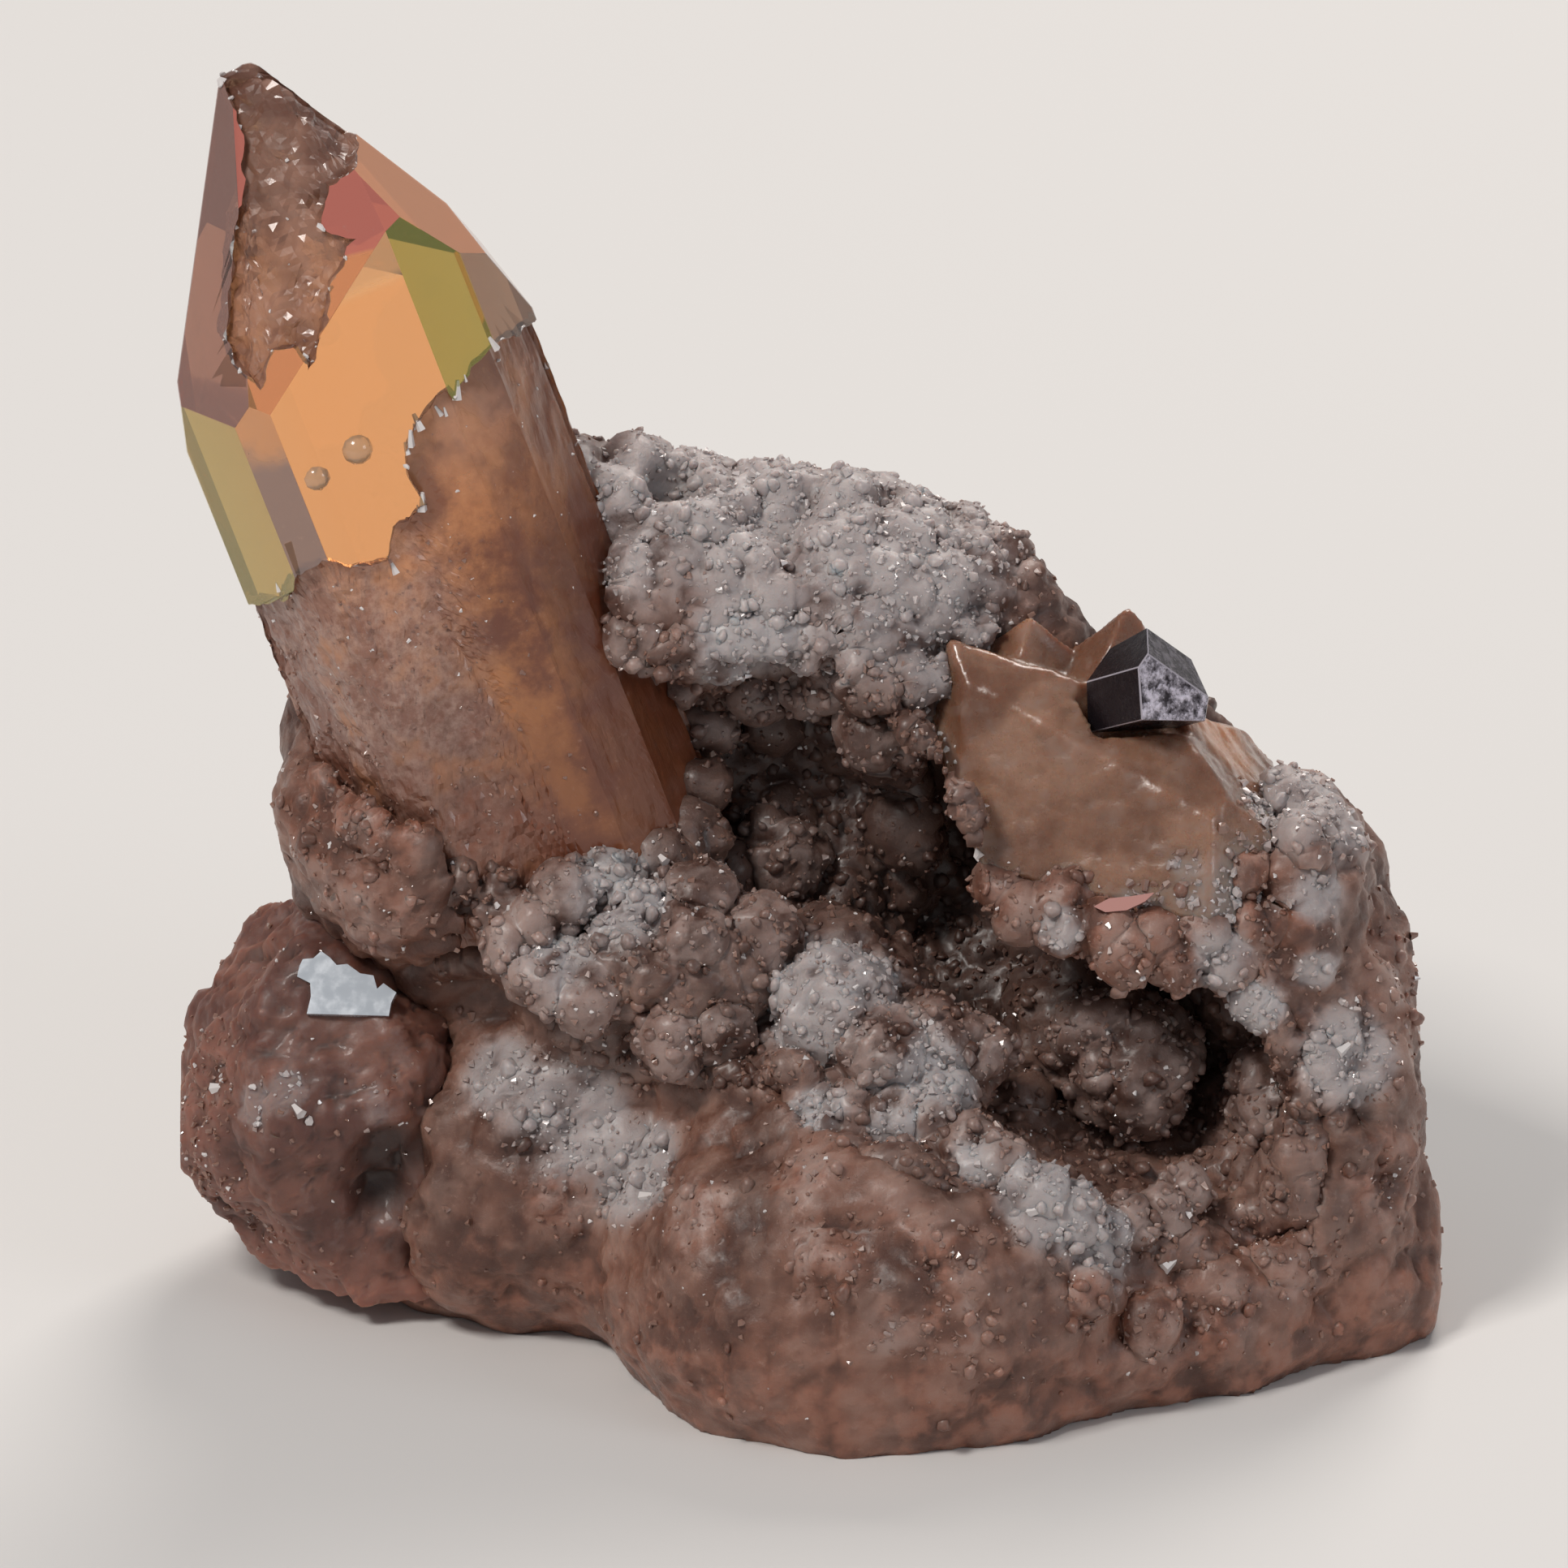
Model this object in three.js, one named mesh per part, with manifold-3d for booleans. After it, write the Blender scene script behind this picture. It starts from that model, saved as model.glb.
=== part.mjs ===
// Topaz crystals on a piece of hollow volcanic rock, in millimetres, +Z up.
// The rock rests on its flat broken underside at z = 0. Its hollow opens to the front, at -Y.
// The main crystal stands at the left and leans out, a second one lies along the upper right,
// a short third one makes the lobe at the lower left, and a black bixbyite sits on the second.

import * as THREE from 'three';
import { ConvexGeometry } from 'three/addons/geometries/ConvexGeometry.js';
import { ImprovedNoise } from 'three/addons/math/ImprovedNoise.js';
import { mergeVertices } from 'three/addons/utils/BufferGeometryUtils.js';
import Module from 'manifold-3d';

const wasm = await Module();
wasm.setup();

// ---- driving dimensions, mm ----------------------------------------------------------------

const SEAT_GAP = 0.3; // clearance between a crystal and the rock that it grew on
const CRUST_THICKNESS = 1.1; // druse lining of the hollow
const CRUST_CLEARANCE = 1.0; // the crust stops this far from the crystals
const ETCH_DEPTH = 0.35; // how far the etched zones lie below the clear faces
const ZONE_DEPTH = 8; // an etched zone is cut from the front this far back, past the axis
const ROCK_DETAIL = 12; // subdivision of the rock's outer surface
const HOLLOW_DETAIL = 7; // subdivision of the hollow's wall
const MOUND_DETAIL = 2; // subdivision of a druse mound
const BEAD_DETAIL = 1; // subdivision of a druse bead
const BEAD_COUNT = 32; // druse beads that stand on the lining of the hollow
const BEAD_RADIUS = { min: 0.7, max: 1.4 };
const BEAD_SEED = 20; // picks the places of the beads
const BLEND = 5; // how tightly neighbouring lumps of rock keep their own shapes
const COARSE_RELIEF = { size: 5.5, height: 1.3 }; // broad swells of the rock's surface
const FINE_RELIEF = { size: 2.2, height: 0.55 }; // small pits and knobs
const MOUND_RELIEF = 0.25; // share of the fine relief that a mound shows
const FACING_RISE = 25; // degrees that the crystals' show side is tilted up from the front

// Crystals. A face is [azimuth, rise, distance]: azimuth in degrees from the front (-Y) towards
// the right (+X), rise in degrees of its normal above the section, distance from the origin of
// the crystal, which for the main topaz is its tip.
const MAIN_TOPAZ = {
  origin: [-18.9, 1.6, 43.8],
  axis: [-0.336, 0, 0.942],
  faces: [
    [3, 0, 4.5], [31, 0, 5.05], [60.6, 0, 5.5], [118, 0, 5.2], [150, 0, 5.0],
    [180, 0, 4.3], [-150, 0, 5.0], [-118, 0, 5.4], [-62.6, 0, 5.75], [-34.8, 0, 5.7],
    [-18.8, 25.5, 0.7], [25, 27, 2.05], [78, 27, 1.1], [95, 16.6, 2.5], [-60, 26.5, 0.65],
    [-110, 25.7, 0.65], [-95, 12.9, 3.45], [160, 25, 0.5], [-160, 27, 0.5], [115, 27, 0.5],
    [0, 90, 0], [0, -90, 31],
  ],
};
// Outlines of the etched zones, [right, along the axis], seen from the front.
const TIP_ETCH = [
  [-0.6, 1.6], [1.6, 1.6], [3.1, -3.2], [1.3, -3.7], [0.5, -4.8], [1.6, -5.3], [0.2, -6.5],
  [-0.35, -7.5], [-0.8, -7.95], [-1.5, -8.95], [-1.65, -8.05], [-2.4, -8.05], [-3.2, -9.05],
  [-3.7, -8.2], [-3.7, -7.6], [-2.2, -4.45], [-1.4, -3.15], [-0.7, -1.5],
];
const FOOT_ETCH = [
  [0.6, -12.65], [1.7, -11.8], [2.5, -11.4], [2.65, -11.95], [3.55, -11.15], [4.5, -11.1],
  [7.2, -12.6], [7.2, -32], [-7.2, -32], [-7.2, -18.2], [-5.0, -17.0], [-4.4, -15.9],
  [-3.4, -15.4], [-2.6, -16.0], [-1.4, -16.3], [-0.8, -15.35], [0.36, -14.95], [0.2, -13.75],
];
const FACE_BEADS = [
  { at: [-2.6, -4.4, -12.6], radius: 0.5 },
  { at: [-1.0, -4.4, -12.2], radius: 0.55 },
];

const RIGHT_TOPAZ = {
  origin: [10.6, 1.0, 17.2],
  axis: [0, 0, 1],
  faces: [
    [144, 60, 3.6], [-82, -17, 5.3], [-30, -62, 3.1], [-12, 22, 3.9], [10, 52, 4.1],
    [-58, 14, 6.3], [180, 4, 4.2], [92, 40, 3.7], [96, -12, 5.2], [0, -90, 5.0],
    [42, 16, 5.2], [-120, 12, 6.6],
  ],
};
const SIDE_CRYSTALS = [
  {
    origin: [6.9, 2.2, 21.3],
    axis: [0.1, 0, 1],
    faces: [
      [-55, 42, 1.25], [40, 38, 1.3], [150, 30, 1.6], [-130, 35, 1.5], [-90, 10, 1.6],
      [90, 10, 1.7], [0, 5, 1.5], [180, 0, 1.6], [0, -90, 3],
    ],
  },
  {
    origin: [10.1, 2.2, 21.2],
    axis: [0.25, 0, 1],
    faces: [
      [-70, 30, 1.5], [30, 48, 1.6], [95, 42, 1.7], [160, 35, 1.8], [-130, 30, 1.7],
      [0, 0, 1.8], [180, 0, 1.8], [90, 0, 2.0], [-90, 0, 1.7], [0, -90, 3.4],
    ],
  },
];
const LEFT_TOPAZ = {
  origin: [-15.4, 1.2, 6.0],
  axis: [0, 0, 1],
  faces: [
    [-4, 35, 5.7], [-88, 44, 5.8], [-90, 12, 5.4], [-52, 16, 5.5], [-92, -38, 5.0],
    [-40, -28, 5.0], [6, -6, 4.9], [50, 4, 4.6], [60, 48, 5.6], [180, 0, 4.4],
    [120, 0, 4.2], [-130, 5, 5.0], [170, 50, 6.2], [0, 82, 7.0], [0, -90, 4.8],
  ],
};
const BIXBYITE = {
  origin: [11.1, -0.6, 22.4],
  axis: [0, 0, 1],
  faces: [
    [38, 14, 1.15], [-52, 6, 1.1], [8, -58, 1.25], [86, 44, 1.25], [-84, 46, 1.2],
    [175, 30, 1.6], [-140, -10, 1.8], [120, -20, 1.9], [0, -90, 1.9],
  ],
};

// Rock. A lump is an ellipsoid: centre, radii, and its turns about Y (lean) and Z (turn), degrees.
const ROCK = {
  middle: [0.5, 1, 11],
  lumps: [
    { centre: [0.5, 2.4, 3.0], radii: [16.5, 9.0, 5.6] }, // the slab that it all stands on
    { centre: [2.5, -6.1, 3.2], radii: [8.9, 7.6, 7.0] }, // prow at the front
    { centre: [-13.6, 3.0, 4.2], radii: [5.4, 4.2, 5.6] }, // seat of the left crystal
    { centre: [-8.4, -0.8, 5.0], radii: [6.0, 4.6, 5.6] }, // front sill, left half
    { centre: [-12.6, 3.0, 14.2], radii: [4.4, 4.6, 8.2], lean: -10 }, // neck, main crystal
    { centre: [-6.4, 4.4, 19.6], radii: [6.4, 5.4, 9.0] }, // shoulder beside the main crystal
    { centre: [-0.4, 5.0, 17.2], radii: [9.0, 5.4, 9.8], lean: 28 }, // back wall and arch
    { centre: [7.0, 4.8, 12.0], radii: [7.4, 5.6, 8.6], lean: 28 }, // right half of the back wall
    { centre: [0.0, -0.6, 13.4], radii: [11.6, 6.0, 8.2], lean: 26 }, // the mass around the hollow
    { centre: [13.4, 2.0, 9.2], radii: [5.8, 6.6, 7.4], lean: 26 }, // carries the right crystal
    { centre: [15.9, -0.6, 6.0], radii: [4.0, 5.6, 7.2] }, // right shell wall
    { centre: [14.4, 1.0, 13.2], radii: [3.8, 4.8, 4.6], lean: 40 }, // shoulder of the right crystal
    { centre: [-12.8, 0.2, 16.6], radii: [4.2, 4.4, 4.8] }, // collar of the main crystal
    { centre: [17.0, -1.8, 2.0], radii: [4.0, 4.2, 4.0] }, // right foot
    { centre: [10.8, -5.2, 2.2], radii: [5.6, 4.4, 4.0] }, // front sill, right half
  ],
};
const HOLLOW = {
  middle: [2.0, -4.4, 13.4],
  lumps: [
    { centre: [-1.4, -4.0, 18.0], radii: [8.0, 9.8, 6.6], lean: 16 }, // the main hollow
    { centre: [-5.6, -5.8, 13.8], radii: [5.0, 6.4, 4.2] }, // its lower left corner
    { centre: [5.6, -4.0, 12.8], radii: [6.4, 9.8, 6.4], lean: 30 }, // its lower right
    { centre: [12.4, -4.8, 8.8], radii: [4.8, 9.6, 5.2], lean: 10 }, // the right chamber
  ],
};
// The rock that holds the foot of the main crystal, left standing in the hollow.
const FOOT_SEAT = { centre: [-8.0, 0.8, 13.4], radii: [4.8, 4.2, 4.4] };
const MOUNDS = [
  { centre: [-5.4, -2.2, 13.0], radii: [4.6, 3.4, 2.8] }, // cluster at the foot of the main crystal
  { centre: [-8.2, -2.4, 11.0], radii: [2.8, 2.6, 2.0] },
  { centre: [2.4, -4.0, 9.4], radii: [3.4, 3.6, 2.8], turn: 20 }, // ridge between the chambers
  { centre: [0.6, -1.2, 11.6], radii: [3.0, 2.8, 2.4] },
  { centre: [9.0, 1.8, 8.2], radii: [2.6, 2.8, 3.2] },
];

// ---- tools ---------------------------------------------------------------------------------

const WELD = 1e-5; // corners closer than this are one corner
const CRUMB_WELD = 1e-3; // the same, in the finished pieces
const CORNER_SPACING = 0.02; // corners of a crystal lie at least this far apart
const ROUNDING = 1e-6; // a corner may lie this far outside of a face
const NEARLY_PARALLEL = 1e-4; // three faces whose normals span less meet nowhere
const SURFACE_TOLERANCE = 0.01;
const LONGEST_REACH = 40; // from the middle of a mass to beyond its surface
const WELL_INSIDE = 2; // value of a mass well below its surface, where it is 1
const GROUND = { width: 80, depth: 20 }; // block that cuts the underside flat
const NOISE_SHIFT = new THREE.Vector3(11.3, 5.7, 3.1); // picks a stretch of the noise
const RANDOM = { multiplier: 16807, modulus: 2147483647 };

const noise = new ImprovedNoise();
const facing = new THREE.Vector3(0, -1, 0)
  .applyAxisAngle(new THREE.Vector3(1, 0, 0), -THREE.MathUtils.degToRad(FACING_RISE));

// A repeatable stream of numbers from 0 to 1.
function randomStream(seed) {
  let state = seed;
  return () => {
    state = (state * RANDOM.multiplier) % RANDOM.modulus;
    return state / RANDOM.modulus;
  };
}

// Keeps position alone and joins the corners that faces share.
function welded(geometry) {
  const bare = geometry.clone();
  bare.deleteAttribute('normal');
  bare.deleteAttribute('uv');
  return mergeVertices(bare, WELD);
}

function solidOf(geometry) {
  const mesh = welded(geometry);
  return new wasm.Manifold(new wasm.Mesh({
    numProp: 3,
    vertProperties: new Float32Array(mesh.attributes.position.array),
    triVerts: new Uint32Array(mesh.index.array),
  }));
}

function geometryOf(solid) {
  const { vertProperties, triVerts } = solid.getMesh();
  const geometry = new THREE.BufferGeometry();
  geometry.setAttribute('position', new THREE.BufferAttribute(vertProperties, 3));
  geometry.setIndex(new THREE.BufferAttribute(triVerts, 1));
  return geometry;
}

const joined = (solids) => solids.reduce((sum, solid) => sum.add(solid));

// Keeps the largest of the bodies in a mesh and drops crumbs left by a cut.
function largestBody(geometry) {
  const mesh = mergeVertices(geometry, CRUMB_WELD);
  const index = mesh.index.array;
  const parent = Array.from({ length: mesh.attributes.position.count }, (_, i) => i);
  const rootOf = (i) => {
    while (parent[i] !== i) i = parent[i] = parent[parent[i]];
    return i;
  };
  for (let i = 0; i < index.length; i += 3) {
    parent[rootOf(index[i])] = rootOf(index[i + 1]);
    parent[rootOf(index[i + 1])] = rootOf(index[i + 2]);
  }
  const bodies = new Map();
  for (let i = 0; i < index.length; i += 3) {
    const [a, b, c] = [index[i], index[i + 1], index[i + 2]];
    if (a === b || b === c || c === a) continue;
    const root = rootOf(a);
    if (!bodies.has(root)) bodies.set(root, []);
    bodies.get(root).push(a, b, c);
  }
  const largest = [...bodies.values()].sort((a, b) => b.length - a.length)[0];
  mesh.setIndex(largest);
  return mesh;
}

// ---- crystals ------------------------------------------------------------------------------

function facePlane([azimuth, rise, distance], grow) {
  const turn = THREE.MathUtils.degToRad(azimuth);
  const lift = THREE.MathUtils.degToRad(rise);
  const flat = Math.cos(lift);
  const normal = new THREE.Vector3(Math.sin(turn) * flat, -Math.cos(turn) * flat, Math.sin(lift));
  return { normal, distance: distance + grow };
}

function meetingPoint(a, b, c) {
  const bc = new THREE.Vector3().crossVectors(b.normal, c.normal);
  const volume = a.normal.dot(bc);
  if (Math.abs(volume) < NEARLY_PARALLEL) return null;
  const ca = new THREE.Vector3().crossVectors(c.normal, a.normal);
  const ab = new THREE.Vector3().crossVectors(a.normal, b.normal);
  return bc.multiplyScalar(a.distance)
    .addScaledVector(ca, b.distance)
    .addScaledVector(ab, c.distance)
    .divideScalar(volume);
}

// The convex crystal that lies behind all its faces, in its own frame.
function crystalGeometry({ faces }, grow = 0) {
  const planes = faces.map((face) => facePlane(face, grow));
  const corners = [];
  for (let i = 0; i < planes.length; i += 1) {
    for (let j = i + 1; j < planes.length; j += 1) {
      for (let k = j + 1; k < planes.length; k += 1) {
        const point = meetingPoint(planes[i], planes[j], planes[k]);
        const isInside = (face) => face.normal.dot(point) < face.distance + ROUNDING;
        const isApart = (corner) => corner.distanceTo(point) > CORNER_SPACING;
        if (point && planes.every(isInside) && corners.every(isApart)) corners.push(point);
      }
    }
  }
  return new ConvexGeometry(corners);
}

// The frame of a crystal: z along its axis, x to the right and -y to the front.
function crystalFrame({ origin, axis }) {
  const up = new THREE.Vector3(...axis).normalize();
  const right = new THREE.Vector3().crossVectors(up, facing).normalize();
  const back = new THREE.Vector3().crossVectors(up, right);
  return new THREE.Matrix4().makeBasis(right, back, up).setPosition(...origin);
}

const crystalSolid = (crystal, grow = 0) =>
  solidOf(crystalGeometry(crystal, grow).applyMatrix4(crystalFrame(crystal)));

// A prism that takes in everything in front of a crystal's axis inside an outline.
function frontZone(outline) {
  const shape = new THREE.Shape(outline.map(([right, up]) => new THREE.Vector2(right, up)));
  const plate = new THREE.ExtrudeGeometry(shape, { depth: ZONE_DEPTH, bevelEnabled: false });
  return solidOf(plate.rotateX(Math.PI / 2));
}

const bead = ({ at, radius }) =>
  solidOf(new THREE.IcosahedronGeometry(radius, BEAD_DETAIL).translate(...at));

function mainTopaz() {
  const frame = crystalFrame(MAIN_TOPAZ);
  const core = solidOf(crystalGeometry(MAIN_TOPAZ, -ETCH_DEPTH));
  const etched = joined([TIP_ETCH, FOOT_ETCH].map(frontZone)).subtract(core);
  const whole = solidOf(crystalGeometry(MAIN_TOPAZ));
  const crystal = whole.subtract(etched).add(joined(FACE_BEADS.map(bead)));
  return solidOf(geometryOf(crystal).applyMatrix4(frame));
}

// The second crystal with the two small ones that are grown together with it.
const rightTopaz = (grow = 0) =>
  joined([RIGHT_TOPAZ, ...SIDE_CRYSTALS].map((crystal) => crystalSolid(crystal, grow)));

// ---- rock ----------------------------------------------------------------------------------

function lumpFrame({ centre, lean = 0, turn = 0 }) {
  const angles = new THREE.Euler(0, THREE.MathUtils.degToRad(lean), THREE.MathUtils.degToRad(turn));
  return new THREE.Matrix4().makeRotationFromEuler(angles).setPosition(...centre);
}

function relief(point, { size, height }) {
  const at = point.clone().divideScalar(size).add(NOISE_SHIFT);
  return height * noise.noise(at.x, at.y, at.z);
}

// How far inside (< 1) or outside (> 1) of a lump's ellipsoid a point lies.
function reach(lump, point) {
  const local = point.clone().applyMatrix4(lump.toLocal);
  return local.divide(lump.size).length();
}

const prepared = (lumps) => lumps.map((lump) => ({
  toLocal: lumpFrame(lump).invert(),
  size: new THREE.Vector3(...lump.radii),
}));

// Above 1 inside of the mass that the lumps make together, with filleted joints between them.
const massAt = (lumps, point) =>
  lumps.reduce((sum, lump) => sum + Math.exp(BLEND * (1 - reach(lump, point) ** 2)), 0);

// Distance from the middle to the surface of the mass, along a direction.
function surfaceDistance(lumps, middle, direction) {
  let [near, far] = [0, LONGEST_REACH];
  while (far - near > SURFACE_TOLERANCE) {
    const half = (near + far) / 2;
    const isInside = massAt(lumps, middle.clone().addScaledVector(direction, half)) > 1;
    if (isInside) near = half;
    else far = half;
  }
  return near;
}

// The broken, knobbly surface of a mass of lumps.
function massGeometry({ middle, lumps }, detail) {
  const geometry = welded(new THREE.IcosahedronGeometry(1, detail));
  const centre = new THREE.Vector3(...middle);
  const ready = prepared(lumps);
  const position = geometry.attributes.position;
  const direction = new THREE.Vector3();
  for (let i = 0; i < position.count; i += 1) {
    direction.fromBufferAttribute(position, i).normalize();
    const distance = surfaceDistance(ready, centre, direction);
    const point = centre.clone().addScaledVector(direction, distance);
    const swell = relief(point, COARSE_RELIEF) + relief(point, FINE_RELIEF);
    point.addScaledVector(direction, swell);
    position.setXYZ(i, point.x, point.y, point.z);
  }
  return geometry;
}

// The same surface, drawn in towards its middle by an inset.
function drawnIn(geometry, middle, inset) {
  const result = geometry.clone();
  const centre = new THREE.Vector3(...middle);
  const position = result.attributes.position;
  const point = new THREE.Vector3();
  for (let i = 0; i < position.count; i += 1) {
    point.fromBufferAttribute(position, i).sub(centre);
    point.setLength(point.length() - inset).add(centre);
    position.setXYZ(i, point.x, point.y, point.z);
  }
  return result;
}

// One ellipsoid with a little of the same relief, drawn out by an optional clearance.
function mound(lump, grow = 0) {
  const geometry = welded(new THREE.IcosahedronGeometry(1, MOUND_DETAIL));
  const radii = new THREE.Vector3(...lump.radii).addScalar(grow);
  const position = geometry.attributes.position;
  const point = new THREE.Vector3();
  for (let i = 0; i < position.count; i += 1) {
    point.fromBufferAttribute(position, i);
    point.multiplyScalar(1 + MOUND_RELIEF * relief(point, FINE_RELIEF)).multiply(radii);
    position.setXYZ(i, point.x, point.y, point.z);
  }
  return solidOf(geometry.applyMatrix4(lumpFrame(lump)));
}

function belowGround() {
  const block = new THREE.BoxGeometry(GROUND.width, GROUND.width, GROUND.depth);
  return solidOf(block.translate(0, 0, -GROUND.depth / 2));
}

// Beads sit all over the lining of the hollow, wherever it lies inside the rock.
function crustBeads(wall) {
  const next = randomStream(BEAD_SEED);
  const corners = wall.attributes.position;
  const rockLumps = prepared(ROCK.lumps);
  const beads = [];
  while (beads.length < BEAD_COUNT) {
    const at = new THREE.Vector3().fromBufferAttribute(corners, Math.floor(next() * corners.count));
    const radius = BEAD_RADIUS.min + (BEAD_RADIUS.max - BEAD_RADIUS.min) * next() ** 2;
    if (massAt(rockLumps, at) > WELL_INSIDE) beads.push(bead({ at: at.toArray(), radius }));
  }
  return joined(beads);
}

function druseCrust(rock, crystals) {
  const wall = massGeometry(HOLLOW, HOLLOW_DETAIL);
  const filled = solidOf(drawnIn(wall, HOLLOW.middle, SEAT_GAP)).intersect(rock);
  const inner = drawnIn(wall, HOLLOW.middle, SEAT_GAP + CRUST_THICKNESS);
  const mounds = joined(MOUNDS.map((lump) => mound(lump)));
  const growths = crustBeads(inner).add(mounds).intersect(filled);
  const crust = filled.subtract(solidOf(inner)).add(growths).subtract(mound(FOOT_SEAT, SEAT_GAP));
  return crystals.reduce((solid, crystal) => solid.subtract(crystal), crust);
}

function matrixRock(rock, crystals) {
  const hollow = solidOf(massGeometry(HOLLOW, HOLLOW_DETAIL));
  const hollowed = rock.subtract(hollow).add(mound(FOOT_SEAT).intersect(rock));
  return crystals.reduce((solid, crystal) => solid.subtract(crystal), hollowed);
}

// ---- assembly ------------------------------------------------------------------------------

const sherry = new THREE.MeshStandardMaterial({ color: 0xc98a52, roughness: 0.12, metalness: 0 });
const brownGlass = new THREE.MeshStandardMaterial({ color: 0x9a7050, roughness: 0.2, metalness: 0 });
const rockBrown = new THREE.MeshStandardMaterial({ color: 0x70483c, roughness: 0.8, metalness: 0 });
const druseGrey = new THREE.MeshStandardMaterial({ color: 0x8a8486, roughness: 0.35, metalness: 0 });
const darkMetal = new THREE.MeshStandardMaterial({ color: 0x2a262c, roughness: 0.25, metalness: 0.9 });

// The crystals with their sides drawn out by a clearance, to be cut from what carries them.
const sockets = (clearance) => [
  crystalSolid(MAIN_TOPAZ, clearance),
  rightTopaz(clearance),
  crystalSolid(LEFT_TOPAZ, clearance),
  crystalSolid(BIXBYITE, clearance),
];

function named(name, solid, material) {
  const mesh = new THREE.Mesh(largestBody(geometryOf(solid)), material);
  mesh.name = name;
  return mesh;
}

const rock = solidOf(massGeometry(ROCK, ROCK_DETAIL)).subtract(belowGround());
const bixbyiteSocket = crystalSolid(BIXBYITE, SEAT_GAP);

const specimen = new THREE.Group();
specimen.add(
  named('matrix', matrixRock(rock, sockets(SEAT_GAP)), rockBrown),
  named('druse_crust', druseCrust(rock, sockets(CRUST_CLEARANCE)), druseGrey),
  named('main_topaz', mainTopaz(), sherry),
  named('right_topaz', rightTopaz().subtract(bixbyiteSocket), brownGlass),
  named('left_topaz', crystalSolid(LEFT_TOPAZ), brownGlass),
  named('bixbyite', crystalSolid(BIXBYITE), darkMetal),
);

// The origin is the middle of the bounding box, at the level of the underside.
const middle = new THREE.Box3().setFromObject(specimen).getCenter(new THREE.Vector3());
specimen.position.set(-middle.x, -middle.y, 0);

export default specimen;
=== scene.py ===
# %% [markdown]
# # A topaz specimen
# Sherry topaz crystals stand on a hollow piece of brown volcanic rock. The hollow is lined with grey
# druse, a crust of tiny glassy grains, and one small black bixbyite sits on the right crystal.
# The model that is loaded here fixes every piece's place and size. This script keeps both, and gives
# each piece the surface that the eye expects: etched and clear faces, grain, frost and glints.

# %% Load the six pieces and keep the box that they fill
import math

import bmesh
import bpy
import numpy as np
from mathutils import Matrix, Vector, noise


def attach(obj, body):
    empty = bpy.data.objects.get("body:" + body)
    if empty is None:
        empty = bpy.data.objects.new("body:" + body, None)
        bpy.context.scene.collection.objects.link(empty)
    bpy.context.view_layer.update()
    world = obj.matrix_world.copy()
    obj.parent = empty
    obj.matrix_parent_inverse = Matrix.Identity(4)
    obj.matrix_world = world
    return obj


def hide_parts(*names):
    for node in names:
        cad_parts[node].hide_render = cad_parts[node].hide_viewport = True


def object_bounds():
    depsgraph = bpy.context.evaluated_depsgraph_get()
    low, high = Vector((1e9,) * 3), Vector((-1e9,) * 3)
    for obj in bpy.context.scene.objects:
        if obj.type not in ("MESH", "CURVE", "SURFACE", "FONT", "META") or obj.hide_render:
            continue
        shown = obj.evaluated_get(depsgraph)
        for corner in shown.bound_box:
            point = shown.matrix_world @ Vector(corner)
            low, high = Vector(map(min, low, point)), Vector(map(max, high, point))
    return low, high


MM = 0.001
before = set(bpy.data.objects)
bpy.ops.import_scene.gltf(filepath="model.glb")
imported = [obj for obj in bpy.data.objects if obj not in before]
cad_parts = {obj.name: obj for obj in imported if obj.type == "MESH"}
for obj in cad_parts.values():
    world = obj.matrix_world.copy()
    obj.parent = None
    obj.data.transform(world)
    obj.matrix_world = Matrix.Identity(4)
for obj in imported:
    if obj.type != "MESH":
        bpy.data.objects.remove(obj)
cad_low, cad_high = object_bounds()
print("pieces:", ", ".join(sorted(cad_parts)))
print("box in mm:", [round(side / MM, 1) for side in cad_high - cad_low])

# %% [markdown]
# ## Camera and light
# A small stone is seen from far away through a very long lens, so that its sides stay parallel.
# The picture is 52 mm wide where the stone stands. The brightest soft box is small and hangs above
# the left shoulder. A weak one on the right fills the shade, and a wide one behind makes the thin
# crystals glow.

# %% Camera
VIEW_RISE = math.radians(25)
VIEW_FROM = Vector((0, -math.cos(VIEW_RISE), math.sin(VIEW_RISE)))
VIEW_DISTANCE = 1.5
VIEW_WIDTH = 52.16 * MM
VIEW_TARGET = Vector((-0.94, -2.0, 19.94)) * MM

camera_data = bpy.data.cameras.new("camera")
camera_data.sensor_width = 36
camera_data.lens = camera_data.sensor_width * VIEW_DISTANCE / VIEW_WIDTH
camera_data.clip_start = 0.01
camera = bpy.data.objects.new("camera", camera_data)
bpy.context.scene.collection.objects.link(camera)
camera.location = VIEW_TARGET + VIEW_DISTANCE * VIEW_FROM
camera.rotation_euler = (math.pi / 2 - VIEW_RISE, 0, 0)
bpy.context.scene.camera = camera
print("lens:", round(camera_data.lens), "mm")

# %% Soft boxes, floor and the pale room
def soft_box(name, place, width, watts, colour):
    """A square area light that faces the middle of the specimen."""
    data = bpy.data.lights.new(name, "AREA")
    data.size = width
    data.energy = watts
    data.color = colour
    light = bpy.data.objects.new(name, data)
    bpy.context.scene.collection.objects.link(light)
    light.location = place
    aim = VIEW_TARGET - Vector(place)
    light.rotation_euler = aim.to_track_quat("-Z", "Y").to_euler()


soft_box("key_light", (-0.20, -0.20, 0.38), 0.11, 1.3, (1.0, 0.95, 0.90))
soft_box("side_light", (0.34, -0.20, 0.16), 0.14, 0.25, (0.92, 0.95, 1.0))
soft_box("back_light", (0.10, 0.28, 0.30), 0.18, 0.9, (1.0, 0.94, 0.88))

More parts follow.
